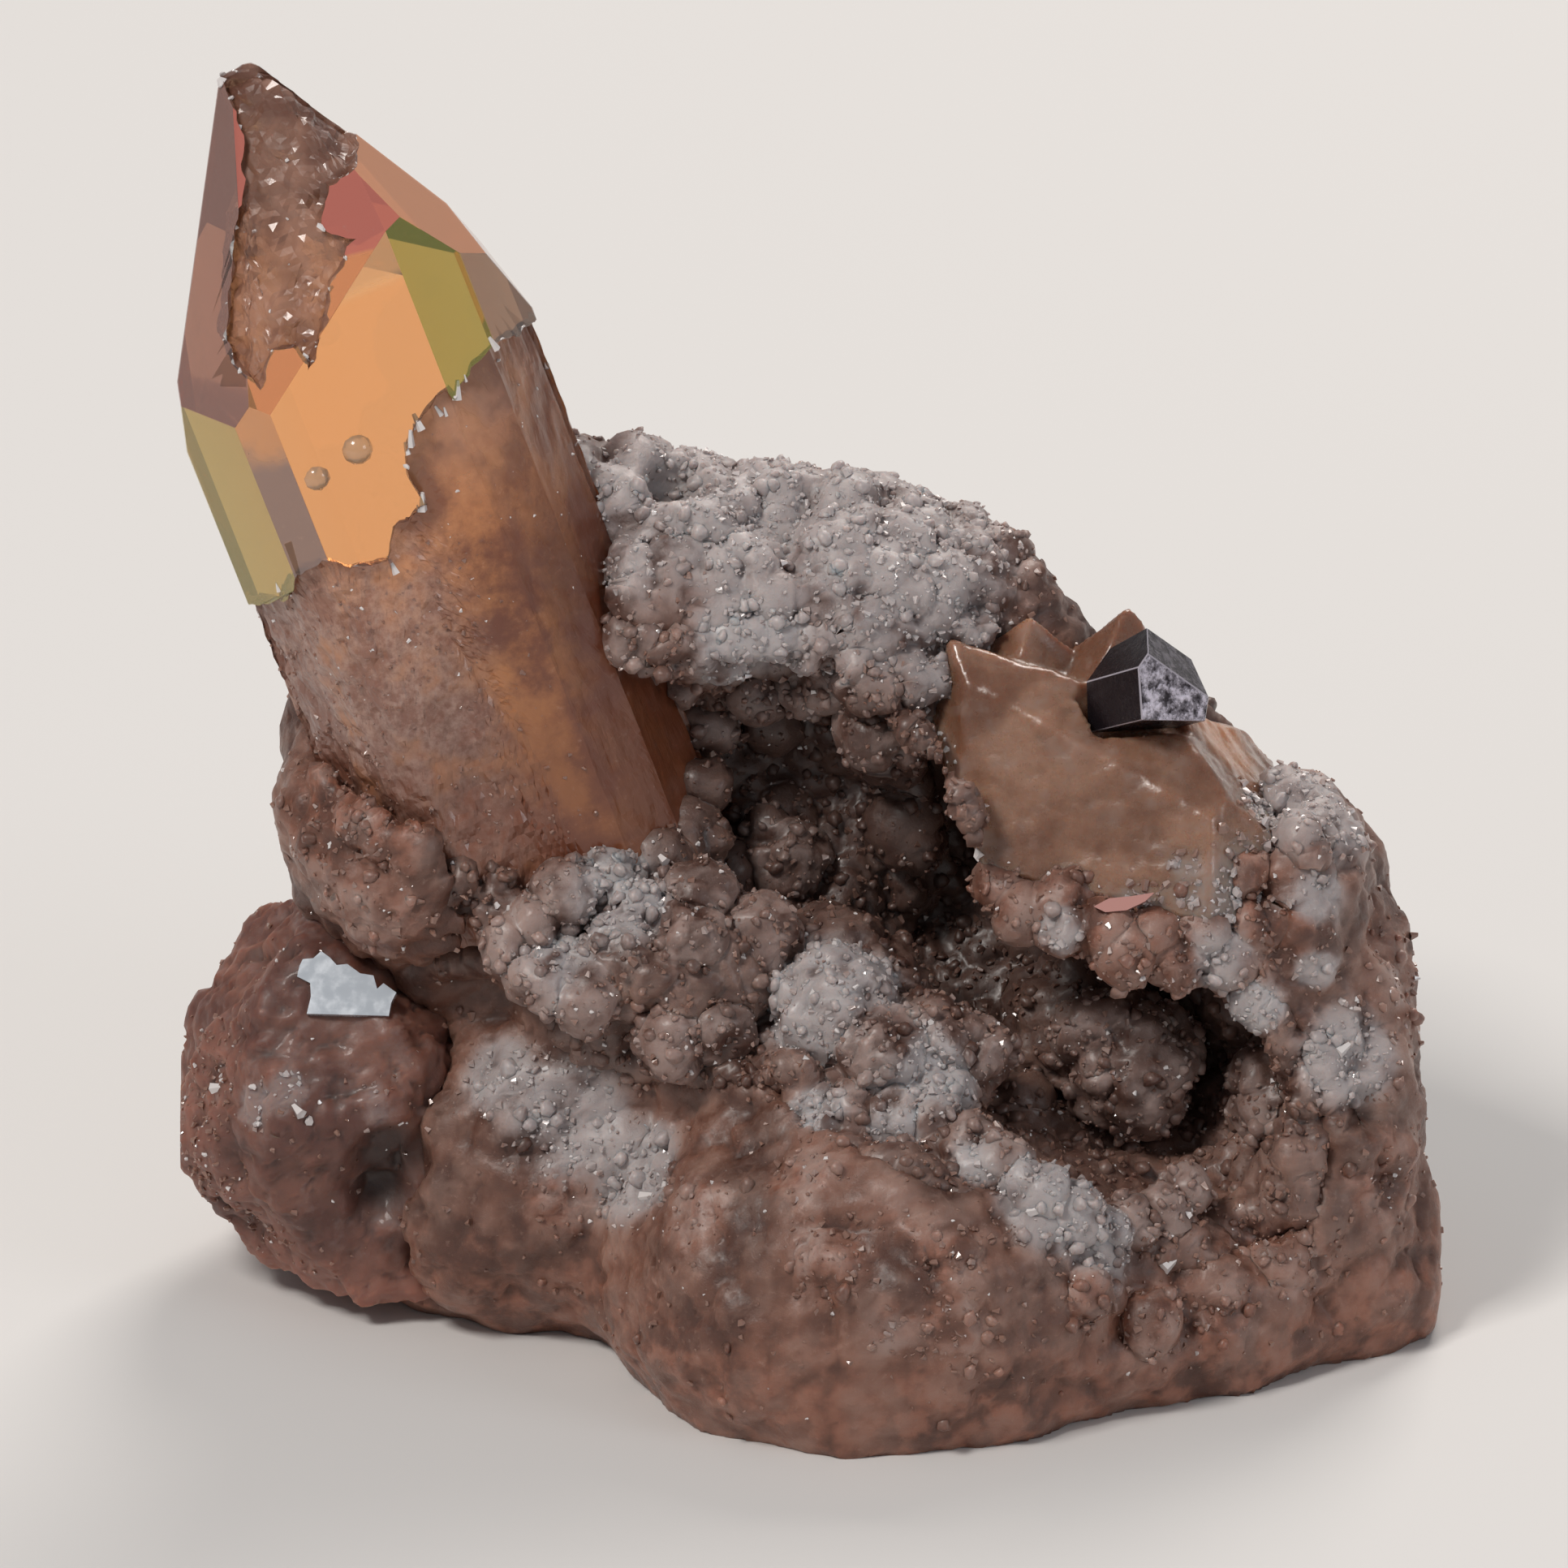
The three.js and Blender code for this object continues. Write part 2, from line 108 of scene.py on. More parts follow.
room = bpy.data.worlds.new("pale_room")
room.use_nodes = True
room.node_tree.nodes["Background"].inputs["Color"].default_value = (0.86, 0.87, 0.9, 1)
room.node_tree.nodes["Background"].inputs["Strength"].default_value = 0.28
bpy.context.scene.world = room
bpy.context.scene.view_settings.view_transform = "Standard"

bpy.ops.mesh.primitive_plane_add(size=6, location=(0, 0, 0))
floor = bpy.context.object
floor.name = "floor"
print("lights:", [light.name for light in bpy.data.lights])

# %% [markdown]
# ## Two small classes for node work
# Both shaders and Geometry Nodes are graphs of nodes. Written link by link they are long and hard to
# read, so a `Graph` adds a node in one call, and a `Wire` stands for one output, on which ordinary
# Python sums add the Math nodes that work them out. A colour is three numbers, and the graph adds
# the fourth, which says that it is opaque.

# %% Wire
class Wire:
    """One output of a node, ready for maths."""

    def __init__(self, graph, socket):
        self.graph = graph
        self.socket = socket

    def __add__(self, other):
        return self.graph.maths("ADD", self, other)

    def __sub__(self, other):
        return self.graph.maths("SUBTRACT", self, other)

    def __rsub__(self, other):
        return self.graph.maths("SUBTRACT", other, self)

    def __mul__(self, other):
        return self.graph.maths("MULTIPLY", self, other)

    def __truediv__(self, other):
        return self.graph.maths("DIVIDE", self, other)

    def __rtruediv__(self, other):
        return self.graph.maths("DIVIDE", other, self)

    def __pow__(self, other):
        return self.graph.maths("POWER", self, other)

    __radd__ = __add__
    __rmul__ = __mul__

    def step(self, low, high):
        """0 at low, 1 at high, and an even curve between."""
        sockets = {"Value": self, "From Min": low, "From Max": high}
        return self.graph.wire("ShaderNodeMapRange", {"interpolation_type": "SMOOTHSTEP"}, sockets)


print("wires add, subtract, multiply, divide, raise to a power and step")

# %% Graph
def opaque(colour):
    return colour if isinstance(colour, Wire) else (*colour, 1)


class Graph:
    """A node tree that is filled one node at a time."""

    def __init__(self, tree):
        self.tree = tree

    def add(self, kind, settings, sockets):
        """Adds a node: its settings first, then the values or wires of its sockets."""
        node = self.tree.nodes.new(kind)
        for name, value in settings.items():
            setattr(node, name, value)
        for key, value in sockets.items():
            if isinstance(value, Wire):
                self.tree.links.new(value.socket, node.inputs[key])
            else:
                node.inputs[key].default_value = value
        return node

    def wire(self, kind, settings, sockets, output=0):
        """Adds a node and gives one of its outputs."""
        return Wire(self, self.add(kind, settings, sockets).outputs[output])

    def maths(self, operation, *values):
        return self.wire("ShaderNodeMath", {"operation": operation}, dict(enumerate(values)))

    def vector(self, operation, *values):
        return self.wire("ShaderNodeVectorMath", {"operation": operation}, dict(enumerate(values)))

    def scaled(self, vector, factor):
        return self.wire("ShaderNodeVectorMath", {"operation": "SCALE"}, {0: vector, "Scale": factor})

    def place(self):
        """Where a point lies on its piece."""
        if self.tree.type == "GEOMETRY":
            return self.wire("GeometryNodeInputPosition", {}, {})
        return self.wire("ShaderNodeTexCoord", {}, {}, "Object")

    def number(self, name):
        """A number that is painted on a mesh."""
        if self.tree.type == "GEOMETRY":
            return self.wire("GeometryNodeInputNamedAttribute", {"data_type": "FLOAT"}, {"Name": name})
        return self.wire("ShaderNodeAttribute", {"attribute_name": name}, {}, "Fac")

    def colour(self, name):
        """A colour that is painted on a mesh."""
        return self.wire("ShaderNodeAttribute", {"attribute_name": name}, {}, "Color")

    def mixed(self, factor, first, second):
        """A colour between two colours."""
        sockets = {"Factor": factor, 6: opaque(first), 7: opaque(second)}
        return self.wire("ShaderNodeMix", {"data_type": "RGBA"}, sockets, 2)

    def cloud(self, place, size, detail=3.0, roughness=0.55):
        """Soft noise from 0 to 1 whose swells are about `size` mm wide."""
        sockets = {"Vector": place, "Scale": 1 / (size * MM), "Detail": detail, "Roughness": roughness}
        return self.wire("ShaderNodeTexNoise", {}, sockets)

    def bump(self, height, strength, distance):
        """Fine relief that only the light sees, `distance` mm deep."""
        sockets = {"Strength": strength, "Distance": distance * MM, "Height": height}
        return self.wire("ShaderNodeBump", {}, sockets)

    def surface(self, sockets, absorbed=None, thickness=1.0):
        """The one surface of a material. A clear one also absorbs: `absorbed` is the colour that is
        left after a long way, and `thickness` the depth in mm of a strong tint."""
        ends = {"Surface": self.wire("ShaderNodeBsdfPrincipled", {}, sockets)}
        if absorbed:
            inside = {"Color": opaque(absorbed), "Density": 1 / (thickness * MM)}
            ends["Volume"] = self.wire("ShaderNodeVolumeAbsorption", {}, inside)
        self.add("ShaderNodeOutputMaterial", {}, ends)


def new_material(name):
    material = bpy.data.materials.new(name)
    material.use_nodes = True
    material.node_tree.nodes.clear()
    return material, Graph(material.node_tree)


def new_tree(name, inputs):
    """A Geometry Nodes tree with named inputs, its graph, and a wire for each input."""
    tree = bpy.data.node_groups.new(name, "GeometryNodeTree")
    for title, kind in {"Geometry": "Geometry", **inputs}.items():
        tree.interface.new_socket(title, in_out="INPUT", socket_type=f"NodeSocket{kind}")
    tree.interface.new_socket("Geometry", in_out="OUTPUT", socket_type="NodeSocketGeometry")
    graph = Graph(tree)
    given = graph.add("NodeGroupInput", {}, {})
    return tree, graph, {socket.name: Wire(graph, socket) for socket in given.outputs}


print("graphs make materials and Geometry Nodes trees")

# %% [markdown]
# ## Helpers for meshes
# The loaded pieces are loose triangles and may not be changed, so every dressed piece starts from a
# copy with its doubles merged. A modifier is worked into the mesh at once, so a finished piece keeps
# none.

# %% Copy, bake and finish
def linked(name, mesh):
    piece = bpy.data.objects.new(name, mesh)
    bpy.context.scene.collection.objects.link(piece)
    return piece


def copy_of(node, name):
    """A new object with a merged copy of a loaded piece's mesh."""
    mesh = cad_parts[node].data.copy()
    mesh.materials.clear()
    model = bmesh.new()
    model.from_mesh(mesh)
    bmesh.ops.remove_doubles(model, verts=model.verts, dist=0.001 * MM)
    model.to_mesh(mesh)
    model.free()
    return linked(name, mesh)


def bake(piece):
    """Works a piece's modifiers into its mesh and removes them."""
    ready = piece.evaluated_get(bpy.context.evaluated_depsgraph_get())
    mesh = bpy.data.meshes.new_from_object(ready)
    piece.modifiers.clear()
    piece.data = mesh
    return piece


def voxels(piece, size):
    """Gives the piece an even skin of small squares, `size` mm wide, which can then carry relief."""
    step = piece.modifiers.new("even_skin", "REMESH")
    step.mode = "VOXEL"
    step.voxel_size = size * MM
    return bake(piece)


def with_nodes(piece, tree, values):
    """Runs a Geometry Nodes tree on a piece, with its named inputs set."""
    step = piece.modifiers.new(tree.name, "NODES")
    step.node_group = tree
    sockets = {item.name: item.identifier for item in tree.interface.items_tree}
    for name, value in values.items():
        step[sockets[name]] = value
    return bake(piece)


def finish(piece, slot, *nodes, material=None):
    """The piece takes its material, rides on the one body and stands for its nodes. `slot` is not used."""
    if material:
        piece.data.materials.append(material)
    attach(piece, "root")
    if nodes:
        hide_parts(*nodes)
    triangles = sum(len(face.vertices) - 2 for face in piece.data.polygons)
    print(piece.name, triangles, "triangles")


print("mesh helpers ready")

# %% Read, paint and limit the points of a piece
def points_of(piece):
    flat = np.empty(len(piece.data.vertices) * 3, np.float32)
    piece.data.vertices.foreach_get("co", flat)
    return flat.reshape(-1, 3)


def paint(piece, name, values):
    """Keeps one number for each point, for the nodes to read."""
    layer = piece.data.attributes.get(name) or piece.data.attributes.new(name, "FLOAT", "POINT")
    layer.data.foreach_set("value", np.clip(values, 0, 1).astype(np.float32))


def paint_faces(piece, name, values):
    """Keeps one number or one colour for each face."""
    kind, field = ("FLOAT", "value") if values.ndim == 1 else ("FLOAT_COLOR", "color")
    layer = piece.data.attributes.new(name, kind, "FACE")
    layer.data.foreach_set(field, values.astype(np.float32).ravel())


def keep_in_box(piece, soft=0.0):
    """No grain stands out of the box of the whole specimen. A soft limit keeps some of the relief."""
    points, low, high = points_of(piece), np.array(cad_low), np.array(cad_high)
    if soft:
        low_line, high_line = low + (soft, soft, -1), high - soft
        over, under = np.maximum(points - high_line, 0), np.maximum(low_line - points, 0)
        points = points - over + soft * np.tanh(over / soft) + under - soft * np.tanh(under / soft)
    points = np.clip(points, low, high)
    piece.data.vertices.foreach_set("co", points.ravel())
    piece.data.update()


def ramp(values, low, high):
    """0 below low, 1 above high, and an even curve between."""
    fade = np.clip((values - low) / (high - low), 0, 1)
    return fade * fade * (3 - 2 * fade)


def spot(points, place, radius):
    """1 in the middle of a round spot, 0 beyond its rim, with a soft edge."""
    distance = np.linalg.norm(points / MM - np.array(place), axis=1) / radius
    return ramp(1.5 - distance, 0, 1)


def spots(points, places):
    return np.max([spot(points, place, radius) for *place, radius in places], axis=0)


FRONT = np.array([0.0, -0.75, 0.66])


def faces_front(piece):
    """1 where a piece faces the open side, 0 where it faces away."""
    normals = np.empty(len(piece.data.vertices) * 3, np.float32)
    piece.data.vertex_normals.foreach_get("vector", normals)
    return ramp(normals.reshape(-1, 3) @ FRONT, -0.3, 0.2)


print("the open side is", FRONT)

# %% [markdown]
# ## Where things are
# The stone isn't the same all over. Pale druse covers the arch, brown rock shows below it, and
# painted shade darkens the hollow towards its back. Balls of druse stand in the middle and hang from
# the roof, and small lumps of rosy rock sit on the ledge under the right crystal and on the front.
# Each row is a place, as x, y and z, and a radius, all in millimetres.

# %% Pale, dented and rosy spots on the stone
PALE_SPOTS = [
    (-7.5, 3.5, 26.5, 3.6), (-2.7, 5.0, 27.0, 4.6), (2.5, 4.5, 25.5, 4.8), (4.4, 3.0, 22.5, 2.6),
    (-2.0, 1.5, 23.8, 2.4), (16.2, 1.2, 17.4, 2.6), (-10.2, -2.4, 9.2, 1.5), (-8.1, -3.7, 8.4, 2.2),
    (-5.6, -4.6, 6.9, 1.9), (0.6, -3.2, 12.2, 2.6), (3.6, -5.4, 10.6, 2.0), (7.6, -8.8, 7.6, 1.9),
    (9.4, -8.6, 6.0, 1.6), (17.8, -3.2, 10.5, 1.8), (-8.3, -3.4, 13.6, 1.6), (-6.5, -2.0, 15.4, 2.2),
    (8.4, -3.2, 15.2, 0.8), (13.4, -3.0, 14.2, 1.2), (16.4, -1.2, 15.4, 1.2), (14.7, -3.2, 12.4, 1.0),
    (16.6, -2.4, 13.4, 0.8), (0.3, -6.9, 10.2, 1.0), (2.7, -7.2, 9.5, 1.1), (5.4, -8.0, 8.6, 1.1),
]
LUMPY_SPOTS = PALE_SPOTS[:6]
DENTS = [
    (-4.6, 4.6, 27.8, 0.9), (-14.1, -2.7, 6.4, 1.2), (2.2, 4.2, 24.4, 0.6), (17.6, -3.2, 12.4, 0.8),
    (18.6, -4.2, 9.0, 0.8), (0.9, -6.4, 8.0, 0.9),
]
PINK_SPOTS = [
    (-15.7, -2.0, 18.6, 3.0), (-14.5, -2.2, 15.6, 2.0), (0.0, -9.1, 8.8, 1.3), (2.7, -12.6, 4.8, 1.0),
    (16.2, -5.4, 3.9, 1.5), (18.9, -3.6, 6.3, 1.6), (-3.8, -8.6, 7.1, 1.2), (-8.1, -4.4, 6.0, 1.4),
    (19.0, 0.5, 11.8, 2.0),
]
print(len(PALE_SPOTS), "pale spots,", len(DENTS), "dents,", len(PINK_SPOTS), "rosy spots")

# %% Balls of druse
MIDDLE_KNOBS = [
    (-8.1, -2.1, 15.9, 1.0), (-6.0, -2.2, 15.0, 1.1), (-9.3, -2.6, 15.0, 0.9), (-3.8, -1.4, 15.5, 1.0),
    (-4.2, -3.0, 14.6, 1.1), (-1.8, -1.8, 14.2, 1.2), (-8.9, -3.9, 13.4, 1.0), (-7.7, -4.0, 13.2, 1.1),
    (-10.2, -3.2, 14.6, 0.6), (-4.7, -4.4, 11.6, 1.0), (-3.1, -4.2, 11.8, 0.9), (0.7, -3.4, 12.2, 1.9),
    (2.2, -4.8, 11.4, 1.4), (4.3, -3.7, 11.4, 1.2), (5.6, -3.4, 10.6, 1.1), (-6.2, -3.0, 13.4, 0.8),
]
ROOF_KNOBS = [
    (-0.8, 3.4, 14.6, 1.2), (-1.4, 3.6, 15.5, 0.5), (-5.4, 2.6, 22.6, 0.9), (-5.9, 1.0, 24.0, 0.8),
    (-4.1, 3.6, 21.2, 0.8), (-3.0, 1.6, 23.2, 0.8), (-1.9, 3.4, 20.8, 0.7), (-3.5, 4.0, 19.0, 0.7),
    (-0.4, 3.2, 21.0, 0.6), (0.5, 2.9, 21.4, 0.7), (2.1, 2.2, 19.9, 1.1), (2.4, 2.6, 21.7, 0.9),
    (0.0, 1.8, 23.4, 0.8), (10.6, 0.2, 8.6, 2.2), (9.6, -0.2, 9.6, 1.4), (15.3, -1.4, 7.8, 1.0),
    (14.9, -1.2, 8.8, 0.7),
]
RIM_KNOBS = [
    (1.2, -6.4, 10.0, 0.8), (2.6, -6.7, 9.9, 0.7), (4.0, -6.6, 9.6, 0.8), (5.2, -7.1, 9.2, 0.7),
    (6.2, -7.8, 8.7, 0.8), (7.3, -8.7, 8.0, 0.9), (8.5, -8.6, 7.2, 0.9), (9.5, -8.1, 6.2, 0.9),
    (10.5, -6.8, 6.0, 0.8), (11.6, -6.0, 6.0, 0.8), (12.5, -5.4, 6.5, 0.6),
]
FOOT_KNOBS = [
    (-4.2, 1.6, 16.4, 1.1), (-5.4, 0.4, 15.9, 1.2), (-6.8, -0.8, 16.1, 1.0), (-3.7, 2.8, 17.6, 0.9),
    (-10.6, -2.0, 15.6, 0.9), (-11.8, -1.8, 16.2, 0.8), (-13.0, -1.4, 16.6, 0.8),
]
PALE_KNOBS = MIDDLE_KNOBS + ROOF_KNOBS + RIM_KNOBS
print(len(PALE_KNOBS + FOOT_KNOBS), "balls of druse")

# %% Lumps of rock
LEDGE_KNOBS = [
    (6.2, -1.5, 15.9, 0.55), (7.0, -2.1, 15.3, 0.7), (7.9, -2.4, 15.7, 0.5), (8.5, -2.8, 14.9, 0.8),
    (9.7, -3.0, 15.1, 0.65), (10.5, -3.1, 14.3, 0.85), (11.5, -3.0, 14.9, 0.6),
    (12.1, -3.0, 13.9, 0.9), (13.1, -2.7, 14.8, 0.7), (13.9, -2.7, 13.9, 0.8),
    (14.7, -2.2, 14.9, 0.75), (15.8, -1.6, 14.5, 0.8), (15.8, -1.0, 16.0, 0.7),
    (16.5, -0.7, 17.0, 0.6), (12.5, -2.2, 16.0, 0.5), (14.4, -1.5, 16.4, 0.55), (8.5, -2.2, 16.0, 0.6),
]
FRONT_KNOBS = [
    (4.4, -11.9, 4.8, 0.8), (11.2, -8.5, 3.3, 0.8), (13.5, -7.0, 3.1, 0.8), (4.4, -11.1, 6.9, 0.8),
    (0.7, -11.1, 6.6, 0.9), (2.4, -10.4, 7.6, 0.7), (9.0, -9.8, 5.0, 0.7), (15.6, -5.4, 4.0, 0.9),
]
LEDGE_SPREAD = 1.6
LEDGE = [(*place, radius * LEDGE_SPREAD) for *place, radius in LEDGE_KNOBS + FRONT_KNOBS]


def with_knobs(piece, knobs):
    """Adds balls to a piece, which its even skin then fuses with it."""
    model = bmesh.new()
    model.from_mesh(piece.data)
    for *place, radius in knobs:
        middle = Matrix.Translation(Vector(place) * MM)
        bmesh.ops.create_icosphere(model, subdivisions=2, radius=radius * MM, matrix=middle)
    model.to_mesh(piece.data)
    model.free()
    return piece


print(len(LEDGE), "lumps of rock")

# %% [markdown]
# ## The skin of rock and druse
# Under a lens this crust is beads upon beads. A Geometry Nodes tree pushes each point of the even
# skin along its normal: by noise for the swells, and by cells shaped into domes of three sizes. It
# keeps how high each point came to lie as `crest`, so that the colours can paint shade into the creases.

# %% A tree that raises swells and domes
LAYERS = ("Swell", "Lump", "Bead", "Grain")
CELL_DRIFT = 1.1 * MM
DENT_DEPTH = 0.9
SKIN_LIFT = 0.12 * MM


def skin_tree():
    inputs = {f"{layer} {part}": "Float" for layer in LAYERS for part in ("size", "height")}
    tree, graph, asked = new_tree("beaded_skin", inputs)
    place = graph.place()
    drift = graph.wire("ShaderNodeTexNoise", {}, {"Vector": place, "Scale": 1 / (1.3 * MM)}, "Color")
    bent = graph.vector("MULTIPLY_ADD", drift, (CELL_DRIFT, CELL_DRIFT, CELL_DRIFT), place)

    def dome(layer):
        """A round dome in the middle of each cell, which ends at 0.8 of the cell's size."""
        sockets = {"Vector": bent, "Scale": 1 / asked[f"{layer} size"]}
        distance = graph.wire("ShaderNodeTexVoronoi", {"feature": "F1"}, sockets)
        return graph.maths("MAXIMUM", 1 - (distance * 1.25) ** 2, 0) ** 0.5

    swell = graph.wire("ShaderNodeTexNoise", {}, {"Vector": place, "Scale": 1 / asked["Swell size"]})
    domes = {layer: dome(layer) for layer in LAYERS[1:]}
    height = (swell - 0.5) * asked["Swell height"] - graph.number("dent") * DENT_DEPTH * MM + SKIN_LIFT
    for layer, shape in domes.items():
        height = height + (shape - 0.5) * asked[f"{layer} height"] * graph.number("beaded")
    normal = graph.wire("GeometryNodeInputNormal", {}, {})
    moved = graph.wire("GeometryNodeSetPosition", {}, {
        "Geometry": asked["Geometry"], "Offset": graph.scaled(normal, height),
    })
    crest = domes["Lump"] * 0.4 + domes["Bead"] * 0.35 + domes["Grain"] * 0.25
    kept = graph.wire("GeometryNodeStoreNamedAttribute", {"data_type": "FLOAT", "domain": "POINT"}, {
        "Geometry": moved, "Name": "crest", "Value": crest,
    })
    smooth = graph.wire("GeometryNodeSetShadeSmooth", {}, {"Geometry": kept})
    graph.add("NodeGroupOutput", {}, {"Geometry": smooth})
    return tree


BEADED_SKIN = skin_tree()


def raise_skin(piece, **layers):
    """Raises the layers on a piece. Each is given as its size and its height in mm."""
    values = {}
    for layer, (size, height) in layers.items():
        values[layer.capitalize() + " size"] = size * MM
        values[layer.capitalize() + " height"] = height * MM
    return with_nodes(piece, BEADED_SKIN, values)


print("skin inputs:", [item.name for item in BEADED_SKIN.interface.items_tree])

# %% [markdown]
# ## Grains that grow on a surface
# The finest detail is loose grains. The tree scatters points over a host piece where its painted
# `growth` is high, puts a small ball or a small blunt crystal on each, bends them all a little with
# noise, and makes them real mesh. Few grains are large, because chance is raised to a power.

# %% A tree that scatters grains
GRAIN_INPUTS = {
    "Per square mm": "Float", "Smallest": "Float", "Largest": "Float", "Unevenness": "Float",
    "Faceted": "Bool", "Seed": "Int", "Material": "Material",
}
BLUNT_CRYSTAL = {"Vertices": 5, "Radius Top": 0.45, "Radius Bottom": 0.95, "Depth": 1.5}
SMALL_BALL = {"Segments": 8, "Rings": 5, "Radius": 1.0}


def grain_tree():
    tree, graph, asked = new_tree("grown_grains", GRAIN_INPUTS)
    spread = graph.wire("GeometryNodeDistributePointsOnFaces", {}, {
        "Mesh": asked["Geometry"],
        "Density": graph.number("growth") * asked["Per square mm"] / MM**2,
        "Seed": asked["Seed"],
    }, "Points")
    chance = graph.wire("FunctionNodeRandomValue", {}, {2: 0.0, 3: 1.0, "Seed": asked["Seed"]}, 1)
    radius = asked["Smallest"] + (asked["Largest"] - asked["Smallest"]) * chance**2.5

    def random_vector(low, high, seed):
        sockets = {0: (low, low, low), 1: (high, high, high), "Seed": seed}
        return graph.wire("FunctionNodeRandomValue", {"data_type": "FLOAT_VECTOR"}, sockets)

    ball = graph.wire("GeometryNodeMeshUVSphere", {}, SMALL_BALL)
    crystal = graph.wire("GeometryNodeMeshCone", {}, BLUNT_CRYSTAL)
    choice = {"Switch": asked["Faceted"], "False": ball, "True": crystal}
    grains = graph.wire("GeometryNodeInstanceOnPoints", {}, {
        "Points": spread,
        "Instance": graph.wire("GeometryNodeSwitch", {"input_type": "GEOMETRY"}, choice),
        "Rotation": random_vector(0, 6.28, asked["Seed"]),
        "Scale": graph.scaled(random_vector(0.75, 1.2, asked["Seed"] + 3), radius),
    })
    real = graph.wire("GeometryNodeRealizeInstances", {}, {"Geometry": grains})
    wander = {"Vector": graph.place(), "Scale": 1 / (0.4 * MM)}
    bend = graph.wire("ShaderNodeTexNoise", {}, wander, "Color")
    shift = graph.scaled(graph.vector("SUBTRACT", bend, (0.5, 0.5, 0.5)), asked["Unevenness"])
    bent = graph.wire("GeometryNodeSetPosition", {}, {"Geometry": real, "Offset": shift})
    shading = {"Geometry": bent, "Shade Smooth": 1 - asked["Faceted"]}
    shaded = graph.wire("GeometryNodeSetShadeSmooth", {}, shading)
    coating = {"Geometry": shaded, "Material": asked["Material"]}
    coated = graph.wire("GeometryNodeSetMaterial", {}, coating)
    graph.add("NodeGroupOutput", {}, {"Geometry": coated})
    return tree


GROWN_GRAINS = grain_tree()


def grow(name, host, slot, growth, material, per_square_mm, sizes, unevenness, seed, faceted=True):
    """Grains as a piece of their own on a host, where `growth` says. Sizes are in mm."""
    piece = linked(name, host.data.copy())
    paint(piece, "growth", growth)
    with_nodes(piece, GROWN_GRAINS, {
        "Per square mm": per_square_mm, "Smallest": sizes[0] * MM, "Largest": sizes[1] * MM,
        "Unevenness": unevenness * MM, "Faceted": faceted, "Seed": seed, "Material": material,
    })
    keep_in_box(piece)
    finish(piece, slot)


print("grain inputs:", [item.name for item in GROWN_GRAINS.interface.items_tree])

# %% [markdown]
# ## The stone's colours
# One recipe makes rock and druse: a brown ground and a pale frost, mixed by the painted `pale` and a
# cloud that breaks its edge. Painted shade darkens it in the creases between the domes and, by `deep`,
# far in the hollow and in the dents. Light goes a little way into it, and a thin coat makes it glassy.

# %% A finish for rock and druse
DUSTY_BROWN = (0.25, 0.135, 0.10)
ROSY_BROWN = (0.36, 0.15, 0.095)
THIN_FROST = (0.28, 0.155, 0.115)
BROWN_CREST, PALE_CREST = (0.40, 0.26, 0.21), (0.60, 0.565, 0.56)
PAINTED_CREASE_SHADE, DEEP_SHADE = (0.07, 0.028, 0.018), (0.036, 0.016, 0.011)


def stone(name, ground, tint, frost, gloss):
    """ground and tint are the two browns, frost is the pale colour, gloss the weight of the coat."""
    material, graph = new_material(name)
    place = graph.place()
    crest, deep, pale = (graph.number(layer) for layer in ("crest", "deep", "pale"))
    broad = graph.cloud(place, 3.4)
    middle = graph.cloud(place, 1.1, 4.0)
    fine = graph.cloud(place, 0.28, 5.0, 0.7)
    brown = graph.mixed(broad.step(0.38, 0.62), ground, tint)
    brown = graph.mixed(middle.step(0.5, 0.75) * 0.45, brown, DUSTY_BROWN)
    rosy = graph.number("warm") * (middle.step(0.42, 0.62) * 0.6 + 0.2)
    brown = graph.mixed(rosy, brown, ROSY_BROWN)
    ragged = pale + (broad - 0.5) * 1.5 + (middle - 0.5) * 1.5 + (crest - 0.5) * 0.8
    frosted = graph.mixed(pale.step(0.1, 0.8), THIN_FROST, frost)
    light = graph.mixed(pale, BROWN_CREST, PALE_CREST)
    dusted = graph.mixed(ragged.step(0.2, 0.95), brown, frosted)
    dusted = graph.mixed(crest.step(0.6, 0.95) * 0.3, dusted, light)
    dusted = graph.mixed(fine.step(0.55, 0.75) * 0.4, dusted, light)
    # painted shade: the creases between the domes are darkened
    shaded = graph.mixed(crest.step(0.7, 0.2) * 0.7, dusted, PAINTED_CREASE_SHADE)
    graph.surface({
        # painted shade: `deep` darkens the back of the hollow and the dents
        "Base Color": graph.mixed(deep * 0.7, shaded, DEEP_SHADE),
        "Roughness": fine.step(0.3, 0.7) * 0.35 + 0.3,
        "Normal": graph.bump(fine, 0.55, 0.08),
        "Subsurface Weight": 0.7,
        "Subsurface Radius": (1.0, 0.62, 0.48),
        "Subsurface Scale": 0.4 * MM,
        "Coat Weight": gloss,
        "Coat Roughness": 0.3,
        "IOR": 1.5,
    })
    return material


ROCK_FINISH = stone("brown_rock", (0.085, 0.036, 0.024), (0.19, 0.088, 0.060), (0.38, 0.33, 0.325), 0.12)
DRUSE_FINISH = stone("grey_druse", (0.10, 0.050, 0.037), (0.21, 0.125, 0.102), (0.41, 0.37, 0.37), 0.3)
print("finishes:", ROCK_FINISH.name, DRUSE_FINISH.name)

# %% Finishes for sugar and glints
BROWN_SUGAR, PALE_SUGAR, DEEP_SUGAR_SHADE = (0.26, 0.15, 0.115), (0.49, 0.445, 0.44), (0.05, 0.025, 0.02)


def glassy(name, colour, roughness):
    """A plain bright finish for the tiny faces that flash."""
    material, graph = new_material(name)
    graph.surface({
        "Base Color": opaque(colour), "Roughness": roughness, "Coat Weight": 1.0, "Coat Roughness": 0.03,
    })
    return material


